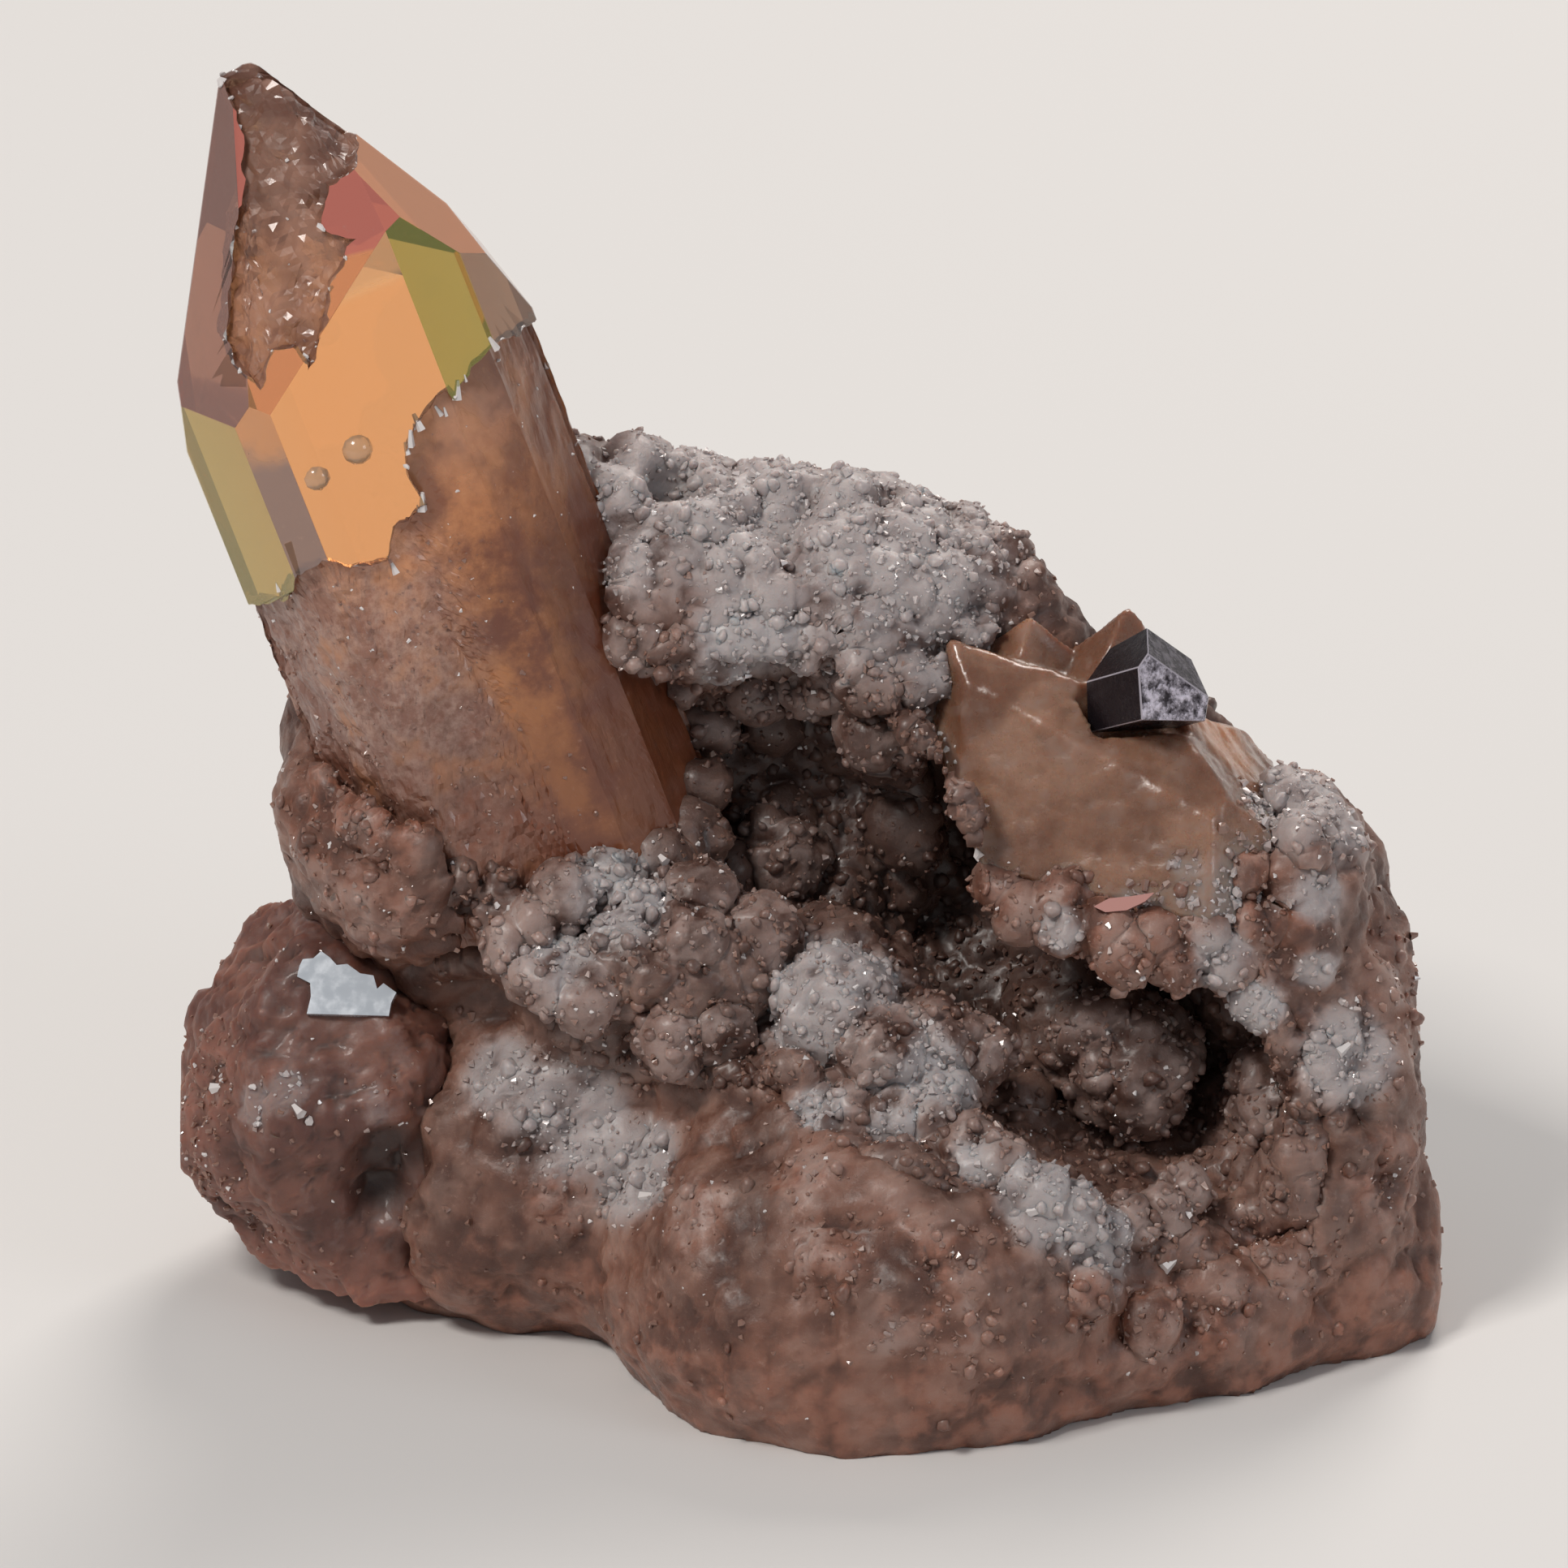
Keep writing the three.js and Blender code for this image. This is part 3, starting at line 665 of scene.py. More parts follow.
def sugar_finish():
    """Tiny clean crystals: brown like the rock, or pale, with polished faces."""
    material, graph = new_material("sugar")
    middle = graph.cloud(graph.place(), 0.9, 4.0)
    ragged = (graph.number("pale") + (middle - 0.5) * 1.4).step(0.2, 0.9)
    colour = graph.mixed(ragged, BROWN_SUGAR, PALE_SUGAR)
    graph.surface({
        # painted shade: `deep` darkens the grains far in the hollow
        "Base Color": graph.mixed(graph.number("deep") * 0.6, colour, DEEP_SUGAR_SHADE),
        "Roughness": 0.3,
        "Subsurface Weight": 0.6,
        "Subsurface Radius": (1.0, 0.75, 0.65),
        "Subsurface Scale": 0.12 * MM,
        "Coat Weight": 0.4,
        "Coat Roughness": 0.08,
    })
    return material


SUGAR_FINISH = sugar_finish()
GLINT_FINISH = glassy("glinting_faces", (0.72, 0.68, 0.67), 0.06)
print("finishes:", SUGAR_FINISH.name, GLINT_FINISH.name)

# %% [markdown]
# ## The rock
# The matrix gets an even skin of quarter-millimetre squares, and its relief comes in two passes. The
# first raises big lumps on the arch and the right shoulder alone, where the frost is thickest, and the
# second swells and domes all over. The box keeps the underside flat, for the specimen stands on it.

# %% Paint the stone
def painted_stone(piece):
    """Says for each point how pale, deep, dented, warm and beaded the stone is there."""
    points = points_of(piece)
    x, y, z = (points / MM).T
    inside = ramp(y, -4, 4) * ramp(24 - z, 0, 5) * ramp(x, -9, -6) * ramp(15 - x, 0, 3)
    dent = spots(points, DENTS)
    knob = spots(points, PALE_KNOBS)
    frost = spots(points, PALE_SPOTS)
    rosy = spots(points, LEDGE + PINK_SPOTS)
    paint(piece, "pale", np.maximum(np.maximum(frost, knob * 0.75) * 0.85, rosy * 0.3))
    # `deep` is painted shade: dark at the back of the hollow, less on the balls of druse, and dark in the
    # dents
    paint(piece, "deep", np.maximum(inside * (1 - 0.75 * knob), dent * 0.7))
    paint(piece, "dent", dent)
    paint(piece, "warm", np.maximum(ramp(7 - z, 0, 6), rosy))
    plain = 0.65 + 0.35 * np.maximum(frost, np.maximum(rosy, knob))
    paint(piece, "beaded", ramp(z, 0.2, 2.0) * (plain if piece.name == "rock" else 1))


print("stone is painted from", len(PALE_SPOTS + PALE_KNOBS + LEDGE + PINK_SPOTS + DENTS), "places")

# %% Make the rock
rock = voxels(with_knobs(copy_of("matrix", "rock"), LEDGE_KNOBS + FRONT_KNOBS), 0.25)
painted_stone(rock)
paint(rock, "beaded", spots(points_of(rock), LUMPY_SPOTS))
raise_skin(rock, swell=(6.0, 0.0), lump=(1.5, 0.7), bead=(0.9, 0.2), grain=(0.6, 0.0))
painted_stone(rock)
raise_skin(rock, swell=(3.0, 1.2), lump=(2.1, 0.55), bead=(0.95, 0.3), grain=(0.5, 0.16))
keep_in_box(rock, 0.7 * MM)
finish(rock, "matrix", "matrix", material=ROCK_FINISH)

# %% [markdown]
# ## The druse
# The lining of the hollow carries taller beads, which stand shoulder to shoulder like cauliflower.

# %% Make the druse
druse = voxels(with_knobs(copy_of("druse_crust", "druse"), PALE_KNOBS + FOOT_KNOBS), 0.2)
painted_stone(druse)
raise_skin(druse, swell=(1.8, 0.7), lump=(1.7, 0.5), bead=(0.8, 0.36), grain=(0.42, 0.18))
keep_in_box(druse)
finish(druse, "druse", "druse_crust", material=DRUSE_FINISH)

# %% [markdown]
# ## Beads, sugar and glints
# Three kinds of grain make the stone sparkle: loose round beads, fine crystals like sugar, and a few
# clean faces that flash. They grow where the stone is pale and on the side that is open, so that none
# are spent where nobody looks.

# %% Grow them on rock and druse
def dress(host, slot, share, bead_count, sugar_count):
    """share is how thickly the plain parts are covered, and the counts are grains per square mm."""
    points = points_of(host)
    cover = np.maximum(spots(points, PALE_SPOTS + PALE_KNOBS + LEDGE), spots(points, PINK_SPOTS) * 0.5)
    cover = (share + (1 - share) * cover) * ramp(points[:, 2] / MM, 0.8, 2.0)
    front = faces_front(host)
    grow(
        host.name + "_beads", host, slot, cover * np.maximum(front, 0.3), DRUSE_FINISH,
        per_square_mm=bead_count, sizes=(0.1, 0.32), unevenness=0.4, seed=4, faceted=False,
    )
    grow(
        host.name + "_sugar", host, slot, cover * front, SUGAR_FINISH,
        per_square_mm=sugar_count, sizes=(0.04, 0.16), unevenness=0.2, seed=11,
    )
    grow(
        host.name + "_glints", host, slot, cover * front, GLINT_FINISH,
        per_square_mm=0.8, sizes=(0.04, 0.13), unevenness=0.2, seed=23,
    )


dress(rock, "matrix", share=0.08, bead_count=1.4, sugar_count=11.0)
dress(druse, "druse", share=0.5, bead_count=2.5, sugar_count=11.0)

# %% [markdown]
# ## Topaz
# A clear crystal is see-through: light bends as it enters and is tinted on its way by absorption.
# Its etched zones are the same glass with a frosted, pitted skin, so one finish serves both. The
# mesh tells them apart with a painted `frost`, and each face has a `tint` of its own.

# %% A finish for topaz
TOPAZ_IOR = 1.62
CLEAR_SKIN, ETCHED_SKIN = (0.9, 0.6, 0.42), (0.42, 0.22, 0.15)
SHERRY = (0.97, 0.66, 0.32)


def clear_topaz():
    material, graph = new_material("sherry_topaz")
    place = graph.place()
    frost = graph.number("frost")
    broad = graph.cloud(place, 1.6)
    fine = graph.cloud(place, 0.3, 4.0)
    skin = graph.mixed((broad + (fine - 0.5) * 0.6).step(0.35, 0.7), ETCHED_SKIN, CLEAR_SKIN)
    skin = graph.mixed(0.55, skin, ETCHED_SKIN)
    graph.surface({
        "Base Color": graph.mixed(frost, graph.colour("tint"), skin),
        "Roughness": frost * 0.5 + 0.03,
        "Normal": graph.bump(fine, frost * 0.6, 0.1),
        "Transmission Weight": 1.0,
        "IOR": TOPAZ_IOR,
    }, absorbed=SHERRY, thickness=6)
    return material


CLEAR_TOPAZ = clear_topaz()
print("topaz finish:", CLEAR_TOPAZ.name)

# %% [markdown]
# ## The main crystal
# Its flat outer faces stay as sharp as they are. Each is known by the way that it looks and by its
# distance from the tip, given along the crystal's own axes. A veiled face carries a thin cloudy film.

# %% The crystal's own directions and its flat faces
TOPAZ_TIP = Vector((-18.92, 2.58, 43.8)) * MM
TOPAZ_UP = Vector((-0.336, 0.0, 0.942)).normalized()
TOPAZ_RIGHT = TOPAZ_UP.cross(VIEW_FROM).normalized()
TOPAZ_BACK = TOPAZ_UP.cross(TOPAZ_RIGHT)

PINK_TINT, PALE_HONEY, HONEY = (0.52, 0.16, 0.125), (1.0, 0.82, 0.62), (1.0, 0.75, 0.5)
# azimuth and rise of a face in degrees, its distance from the tip in mm, its tint, and its veil: how
# much of the film it carries. On the front faces the tint is partly the crystal's own colour and partly
# a painted reflection of the light inside it.
FACETS = {
    "window": (3, 0, 4.5, (1.0, 0.66, 0.34), 0.001),
    "olive side": (31, 0, 5.05, (0.42, 0.43, 0.11), 0.45),
    "right rim": (60.6, 0, 5.5, (0.26, 0.17, 0.12), 0.55),
    "violet strip": (-34.8, 0, 5.7, (0.55, 0.33, 0.20), 0.25),
    "yellow strip": (-62.6, 0, 5.75, (0.50, 0.42, 0.12), 0.5),
    "back right": (118, 0, 5.2, PALE_HONEY, 0.0),
    "back far right": (150, 0, 5.0, PALE_HONEY, 0.0),
    "back": (180, 0, 4.3, PALE_HONEY, 0.0),
    "back far left": (-150, 0, 5.0, PALE_HONEY, 0.0),
    "back left": (-118, 0, 5.4, PALE_HONEY, 0.0),
    "front end": (-18.8, 25.5, 0.7, PINK_TINT, 0.85),
    "pink end": (25, 27, 2.05, PINK_TINT, 0.85),
    "salmon end": (78, 27, 1.1, (0.66, 0.30, 0.16), 0.85),
    "right end": (95, 16.6, 2.5, (0.34, 0.15, 0.09), 0.85),
    "mauve end": (-60, 26.5, 0.65, (0.36, 0.19, 0.16), 0.55),
    "left end": (-110, 25.7, 0.65, (0.36, 0.21, 0.18), 0.55),
    "left shoulder": (-95, 12.9, 3.45, (0.32, 0.25, 0.24), 0.6),
    "back end": (160, 25, 0.5, HONEY, 0.0),
    "back left end": (-160, 27, 0.5, HONEY, 0.0),
    "back right end": (115, 27, 0.5, HONEY, 0.0),
}
BEAD_TINT, BEAD_VEIL = (0.80, 0.50, 0.26), 0.45
ETCHED_VEIL = 0.78
BEAD_PLACES = [(-2.6, -4.4, -12.6), (-1.0, -4.4, -12.2)]


def in_crystal(right, back, up):
    """A direction given along the crystal's own axes."""
    return TOPAZ_RIGHT * right + TOPAZ_BACK * back + TOPAZ_UP * up


def facet_normal(azimuth, rise):
    turn, lift = math.radians(azimuth), math.radians(rise)
    return in_crystal(math.sin(turn) * math.cos(lift), -math.cos(turn) * math.cos(lift), math.sin(lift))


def along_crystal(points):
    """How far points lie from the tip down the crystal, and how far to the right, in mm."""
    from_tip = (points - np.array(TOPAZ_TIP)) / MM
    return -from_tip @ np.array(TOPAZ_UP), from_tip @ np.array(TOPAZ_RIGHT)


FACET_NORMALS = [facet_normal(azimuth, rise) for azimuth, rise, *_ in FACETS.values()]
FACET_REACH = [row[2] * MM for row in FACETS.values()]
print(len(FACETS), "flat faces, axis leans", round(math.degrees(TOPAZ_UP.angle((0, 0, 1))), 1), "degrees")

# %% [markdown]
# The etched zones start as the few deep faces between the flat ones. They are cut into small
# triangles, and noise moves their points: the zone turns rough, its rim jagged, and every small
# triangle can flash. The noise draws its own offsets by chance, so it gets a fixed seed.

# %% Tell the zones apart and cut the etched ones fine
ETCHED, BEAD = -1, -2
BEAD_REACH = 0.7 * MM


def zone_of(face):
    """Which flat face of the crystal a mesh face lies on, or that it is etched or on a bead."""
    centre = face.calc_center_median() - TOPAZ_TIP
    for index, (normal, reach) in enumerate(zip(FACET_NORMALS, FACET_REACH)):
        if face.normal.dot(normal) > 0.999 and abs(normal.dot(centre) - reach) < 0.05 * MM:
            return index
    for place in BEAD_PLACES:
        if (centre - in_crystal(*place) * MM).length < BEAD_REACH:
            return BEAD
    return ETCHED


def split_etched(model, layer):
    """Cuts the etched faces with more than three corners into triangles."""
    etched = [face for face in model.faces if face[layer] == ETCHED and len(face.verts) > 3]
    bmesh.ops.triangulate(model, faces=etched)


def refine(model, layer, longest, passes=6):
    """Halves the long edges of the etched faces, pass by pass, until few are over `longest`."""
    for _ in range(passes):
        split_etched(model, layer)
        edges = [
            edge for edge in model.edges
            if edge.calc_length() > longest and any(face[layer] == ETCHED for face in edge.link_faces)
        ]
        bmesh.ops.subdivide_edges(model, edges=edges, cuts=1)
    split_etched(model, layer)


def without_folds(model):
    """Deletes the folds that cutting leaves: faces on the same corners, with nothing between them."""
    twins = {}
    for face in model.faces:
        twins.setdefault(frozenset(face.verts), []).append(face)
    folds = [face for group in twins.values() if len(group) > 1 for face in group]
    bmesh.ops.delete(model, geom=folds, context="FACES")
    return len(folds)


print("beads at", BEAD_PLACES)

# %% Roughen the etched zones
ETCHED_EDGE = 0.3 * MM
ETCHED_DEPTH = 0.16 * MM
RIM_JAG = 0.12 * MM
PIT_SIZE = 0.5 * MM


def clamped(value, low, high):
    return min(max(value, low), high)


def roughen(model, layer):
    """Moves the points of the etched zones in and out, and their rims sideways. Towards the foot the
    pits draw out into long streaks, most of all on the right."""
    noise.seed_set(7)
    model.normal_update()
    for vertex in model.verts:
        flat = [face for face in vertex.link_faces if face[layer] != ETCHED]
        if len(flat) == len(vertex.link_faces):
            continue
        along = TOPAZ_UP.dot(vertex.co - TOPAZ_TIP)
        right_side = clamped(TOPAZ_RIGHT.dot(vertex.co - TOPAZ_TIP) / (2 * MM) + 0.5, 0.3, 1)
        low_down = clamped((-along / MM - 9) / 5, 0, 1) * right_side
        place = (vertex.co - TOPAZ_UP * along * 0.45 * low_down) / PIT_SIZE
        drift = noise.noise_vector(place) * RIM_JAG * (1.6 if flat else 1 - 0.7 * low_down)
        if not flat:
            pits = noise.fractal(place, 1.0, 2.0, 3)
            steps = math.floor(noise.noise(place / 2.5) * 5) / 5
            drift += vertex.normal * ETCHED_DEPTH * (0.7 * pits + 0.9 * steps) * (1 - 0.85 * low_down)
        # a rim point has to stay in the planes of its flat faces, which a few rounds bring it back to
        for face in flat * 5:
            drift -= face.normal * face.normal.dot(drift)
        vertex.co += drift


def etched_topaz():
    """A copy of the main crystal with fine etched zones, and each face's zone kept on it."""
    piece = copy_of("main_topaz", "sherry_crystal")
    model = bmesh.new()
    model.from_mesh(piece.data)
    bmesh.ops.dissolve_degenerate(model, edges=model.edges, dist=0.01 * MM)
    bmesh.ops.dissolve_limit(model, angle_limit=math.radians(0.5), verts=model.verts, edges=model.edges)
    model.normal_update()
    layer = model.faces.layers.int.new("zone")
    for face in model.faces:
        face[layer] = zone_of(face)
    refine(model, layer, ETCHED_EDGE)
    print("folded faces deleted:", without_folds(model))
    roughen(model, layer)
    for face in model.faces:
        face.smooth = face[layer] == BEAD
    model.to_mesh(piece.data)
    model.free()
    return piece


main_topaz = etched_topaz()
print("main crystal", len(main_topaz.data.polygons), "faces")

# %% Paint the zones and finish the main crystal
def zones_of(piece):
    zone = np.empty(len(piece.data.polygons), np.int32)
    piece.data.attributes["zone"].data.foreach_get("value", zone)
    return zone


main_zones = zones_of(main_topaz)
# the last two rows are those of BEAD and ETCHED, which count from the end
tints = [(*row[3], 1) for row in FACETS.values()] + [(*BEAD_TINT, 1), (*ETCHED_SKIN, 1)]
veils = [row[4] for row in FACETS.values()] + [BEAD_VEIL, ETCHED_VEIL]
paint_faces(main_topaz, "frost", main_zones == ETCHED)
# the tint of each face: the crystal's own colour, and on the front faces partly painted reflection
paint_faces(main_topaz, "tint", np.array(tints)[main_zones])
paint_faces(main_topaz, "veil", np.array(veils)[main_zones])
paint_faces(main_topaz, "front_end", main_zones == list(FACETS).index("front end"))
paint_faces(main_topaz, "window", main_zones == list(FACETS).index("window"))
print("etched", int((main_zones == ETCHED).sum()), "flat", int((main_zones >= 0).sum()), "faces")
finish(main_topaz, "clear_topaz", "main_topaz", material=CLEAR_TOPAZ)

# %% [markdown]
# Light that enters the foot of the crystal is lost in the rock, so its frosted skin shows the colour
# of the stone under it. A thin film over the etched zones and over the cloudy faces carries that
# colour. It lets part of the light through, in patches and in streaks along the crystal.

# %% Colours of the film
END_DARK, END_LIGHT = (0.17, 0.076, 0.052), (0.36, 0.19, 0.135)
AMBER_DARK, AMBER_GLOW = (0.165, 0.045, 0.020), (0.62, 0.25, 0.095)
MAUVE_DARK, MAUVE_LIGHT = (0.25, 0.115, 0.082), (0.46, 0.30, 0.245)
RED_BROWN, FOOT_SHADE = (0.13, 0.033, 0.013), (0.19, 0.055, 0.022)
PEAK_HONEY, DUSK_GREY = (0.80, 0.42, 0.19), (0.23, 0.165, 0.15)
ETCHED_DUST, FACE_DUST = (0.45, 0.33, 0.28), (0.42, 0.30, 0.25)


def etched_colour(graph, foot, right, broad, fine, streak):
    """Brown at the end, mauve on the left, amber with a painted glow in streaks on the right, and
    painted shade at the foot.
    """
    ending = graph.mixed(broad.step(0.4, 0.62), END_DARK, END_LIGHT)
    # painted glow: the amber turns light in patches and streaks
    glow = (streak * 0.4 + broad * 0.6 + (fine - 0.5) * 0.15).step(0.42, 0.64)
    amber = graph.mixed(glow, AMBER_DARK, AMBER_GLOW)
    mauve = graph.mixed((fine * 0.45 + broad * 0.55).step(0.4, 0.62), MAUVE_DARK, MAUVE_LIGHT)
    mauve = graph.mixed(broad.step(0.5, 0.68) * 0.6, mauve, amber)
    lower = graph.mixed(right, mauve, amber)
    far_right = (graph.number("far_right") + (broad - 0.5) * 0.8).step(0.1, 0.9) * 0.8
    lower = graph.mixed(far_right, lower, RED_BROWN)
    etched = graph.mixed(foot.step(0.1, 0.35), ending, lower)
    # painted shade at the very foot, where the crystal meets the rock
    etched = graph.mixed(foot.step(0.7, 1.0) * 0.6, etched, FOOT_SHADE)
    return graph.mixed(fine.step(0.6, 0.8) * 0.3, etched, ETCHED_DUST)


print("film colours ready")

# %% The film on the etched zones and the cloudy faces
def film_finish():
    material, graph = new_material("cloudy_film")
    place = graph.place()
    frost, foot, right, veil = (graph.number(layer) for layer in ("etching", "foot", "right", "veil"))
    product = {"operation": "DOT_PRODUCT"}
    along = graph.wire("ShaderNodeVectorMath", product, {0: place, 1: TOPAZ_UP}, "Value")
    upward = graph.wire("ShaderNodeCombineXYZ", {}, dict(enumerate(TOPAZ_UP)))
    streak = graph.cloud(graph.vector("ADD", place, graph.scaled(upward, along * -0.5)), 1.5, 2.0)
    broad = graph.cloud(place, 2.2)
    fine = graph.cloud(place, 0.3, 4.0, 0.7)
    down = (along - TOPAZ_UP.dot(TOPAZ_TIP)) * (-1 / MM)
    dusk = (down + (broad - 0.5) * 2.5).step(10.6, 11.8) * right.step(0.5, 0.0)
    dusk = dusk * (1 - frost) * veil.step(0.5, 0.4) * veil.step(0.15, 0.22)
    clear = down.step(5.7, 5.9) * graph.number("front_end")
    peak = down.step(7.3, 6.6) * graph.number("window")
    face = graph.mixed(clear + peak, graph.colour("tint"), PEAK_HONEY)
    face = graph.mixed(dusk, face, DUSK_GREY)
    face = graph.mixed(fine.step(0.6, 0.8) * 0.25, face, FACE_DUST)
    thinner = (broad + (streak - 0.5) * 1.2).step(0.35, 0.75) * 0.3 * frost * (1 - foot * 0.6)
    graph.surface({
        "Base Color": graph.mixed(frost, face, etched_colour(graph, foot, right, broad, fine, streak)),
        "Roughness": frost * fine * 0.4 + 0.2,
        "Normal": graph.bump(fine, frost * 0.4 + 0.05, 0.06),
        "Alpha": veil + dusk * 0.6 - thinner + foot * frost * 0.1 - clear * 0.5 + peak * 0.75,
        "Coat Weight": 0.6,
        "Coat Roughness": 0.1,
    })
    return material


def sheet_of(piece, name, lift, wanted):
    """A thin sheet just over those faces of a piece that are wanted."""
    sheet = linked(name, piece.data.copy())
    sheet.data.materials.clear()
    model = bmesh.new()
    model.from_mesh(sheet.data)
    bare = [face for face, keep in zip(model.faces, wanted) if not keep]
    bmesh.ops.delete(model, geom=bare, context="FACES")
    model.normal_update()
    for vertex in model.verts:
        vertex.co += vertex.normal * lift
    model.to_mesh(sheet.data)
    model.free()
    return sheet


veiled = (np.array(veils) > 0)[main_zones]
topaz_film = sheet_of(main_topaz, "cloudy_film", 0.03 * MM, veiled)
down, across = along_crystal(points_of(topaz_film))
paint(topaz_film, "foot", ramp(down, 8, 29))
paint(topaz_film, "right", ramp(across, -1.5, 1.5))
paint(topaz_film, "far_right", ramp(across, 1.0, 5.0) * ramp(down, 11, 15))
paint_faces(topaz_film, "etching", zones_of(topaz_film) == ETCHED)
keep_in_box(topaz_film)
finish(topaz_film, "clear_topaz", material=film_finish())

# %% [markdown]
# The torn rim of an etched zone flashes most, the zone itself a little, and fine dust lies on the
# lower left of the crystal. All three grow on a sheet of the etched faces, which is then removed.

# %% Glints and dust on the etched zones
def rim_of(sheet):
    """1 on the points along the open edge of a sheet."""
    model = bmesh.new()
    model.from_mesh(sheet.data)
    rim = np.array([vertex.is_boundary for vertex in model.verts], float)
    model.free()
    return rim


etched_sheet = sheet_of(main_topaz, "etched_sheet", 0.0, main_zones == ETCHED)
down, across = along_crystal(points_of(etched_sheet))
sheet_front = faces_front(etched_sheet)
grow(
    "rim_glints", etched_sheet, "clear_topaz", rim_of(etched_sheet) * sheet_front * ramp(-down, -22, -18),
    GLINT_FINISH, per_square_mm=18.0, sizes=(0.03, 0.24), unevenness=0.35, seed=31,
)
grow(
    "crystal_glints", etched_sheet, "clear_topaz", sheet_front * ramp(-down, -24, -20), GLINT_FINISH,
    per_square_mm=0.7, sizes=(0.03, 0.11), unevenness=0.2, seed=37,
)
paint(etched_sheet, "crest", np.full(len(down), 0.75))
paint(etched_sheet, "pale", 0.05 + 0.2 * ramp(-across, 0, 4))
lower_left = ramp(down, 15.5, 19) * ramp(-across, -3, 1) * sheet_front
grow(
    "foot_dust", etched_sheet, "clear_topaz", lower_left, SUGAR_FINISH,
    per_square_mm=9.0, sizes=(0.03, 0.12), unevenness=0.1, seed=41,
)
bpy.data.objects.remove(etched_sheet)

# %% [markdown]
# ## The brown crystals
# The right crystal and its two small companions are cloudy, with a smooth but not flat skin. The left
# crystal is etched nearly all over. One finish with different colours and clearness serves them both.

# %% A finish for cloudy crystals
PALE_SPECKS = (0.45, 0.32, 0.26)
CRYSTAL_CREASE_SHADE, CRYSTAL_DEEP_SHADE = (0.05, 0.02, 0.014), (0.035, 0.016, 0.012)


def cloudy_topaz(name, dark, light, glow, veil, clearness, roughness, gloss):
    """Cloudy crystal: part of the light goes through, the rest is scattered inside."""
    material, graph = new_material(name)
    place = graph.place()
    broad = graph.cloud(place, 3.0)
    middle = graph.cloud(place, 0.9, 4.0)
    fine = graph.cloud(place, 0.35, 5.0, 0.65)
    body = graph.mixed(broad.step(0.35, 0.65), dark, light)
    body = graph.mixed(middle.step(0.52, 0.7) * 0.3, body, veil)
    body = graph.mixed(middle.step(0.46, 0.32) * 0.4, body, dark)
    # painted glow, where the mesh carries `glow`
    body = graph.mixed(graph.number("glow"), body, glow)
    dusty = (graph.number("pale") + (fine - 0.5) * 0.9 + (broad - 0.5) * 0.6).step(0.3, 0.9)
    body = graph.mixed(dusty * 0.85, body, veil)
    body = graph.mixed(fine.step(0.62, 0.8) * 0.25, body, PALE_SPECKS)
    # painted shade in the creases of the skin
    body = graph.mixed(graph.number("crest").step(0.65, 0.2) * 0.6, body, CRYSTAL_CREASE_SHADE)
    graph.surface({
        # painted shade in the dents, by `deep`
        "Base Color": graph.mixed(graph.number("deep") * 0.8, body, CRYSTAL_DEEP_SHADE),
        "Roughness": (fine + middle) * 0.5 * roughness + dusty * 0.25 + 0.1,
        "Normal": graph.bump(fine, 0.35, 0.08),
        "Transmission Weight": clearness,
        "Subsurface Weight": 0.9,
        "Subsurface Radius": (1.0, 0.5, 0.3),
        "Subsurface Scale": 1.0 * MM,
        "Coat Weight": middle.step(0.35, 0.65) * gloss,
        "Coat Roughness": 0.12,
        "IOR": TOPAZ_IOR,
    }, absorbed=(0.9, 0.55, 0.32), thickness=5)
    return material


BROWN_TOPAZ = cloudy_topaz(
    "brown_topaz", dark=(0.24, 0.11, 0.065), light=(0.45, 0.25, 0.165), glow=(0.64, 0.27, 0.11),
    veil=(0.44, 0.33, 0.285), clearness=0.3, roughness=0.35, gloss=0.5,
)
ETCHED_TOPAZ = cloudy_topaz(
    "lobe_topaz", dark=(0.12, 0.042, 0.028), light=(0.23, 0.098, 0.068), glow=(0.33, 0.14, 0.10),
    veil=(0.30, 0.22, 0.205), clearness=0.1, roughness=1.0, gloss=0.15,
)
print("finishes:", BROWN_TOPAZ.name, ETCHED_TOPAZ.name)

# %% [markdown]
# The right crystal has a crust of sugar along its lower edge and a frosted left edge with single
# glints. A painted glow on one orange face stands for the light that it catches.

# %% Make the right crystal and its small companions
GLOW_SPOTS = [(13.6, 3.3, 19.3, 1.9)]
CRUSTED_SPOTS = [
    (15.4, 0.6, 18.2, 1.2), (15.3, 0.4, 17.2, 1.6), (13.5, -1.4, 15.6, 2.2), (10.8, -2.6, 14.6, 1.8),
    (15.6, -0.5, 15.0, 2.0), (8.4, -2.4, 14.8, 1.2), (12.6, -2.0, 16.8, 1.0),
]
LEFT_EDGE = [(*place, 0.7) for place in np.linspace((3.2, 1.8, 22.4), (5.8, -1.2, 16.6), 9)]
SWELL_HEIGHT, SWELL_WIDTH = 0.09 * MM, 1.4 * MM


def soft_crystal(node, name, size):
    """Rounds a crystal a little and lets its faces swell softly."""
    piece = voxels(copy_of(node, name), size)
    model = bmesh.new()
    model.from_mesh(piece.data)
    model.normal_update()
    for vertex in model.verts:
        swell = noise.fractal(vertex.co / SWELL_WIDTH, 0.8, 2.0, 5)
        vertex.co += vertex.normal * swell * SWELL_HEIGHT
    model.to_mesh(piece.data)
    model.free()
    for face in piece.data.polygons:
        face.use_smooth = True
    return piece


right_topaz = soft_crystal("right_topaz", "brown_crystal", 0.16)
right_points = points_of(right_topaz)
glow_spot = spots(right_points, GLOW_SPOTS)
left_edge = spots(right_points, LEFT_EDGE)
crusted = spots(right_points, CRUSTED_SPOTS) * (1 - glow_spot)
paint(right_topaz, "pale", np.maximum(crusted, left_edge * 0.5) - glow_spot * 0.5)
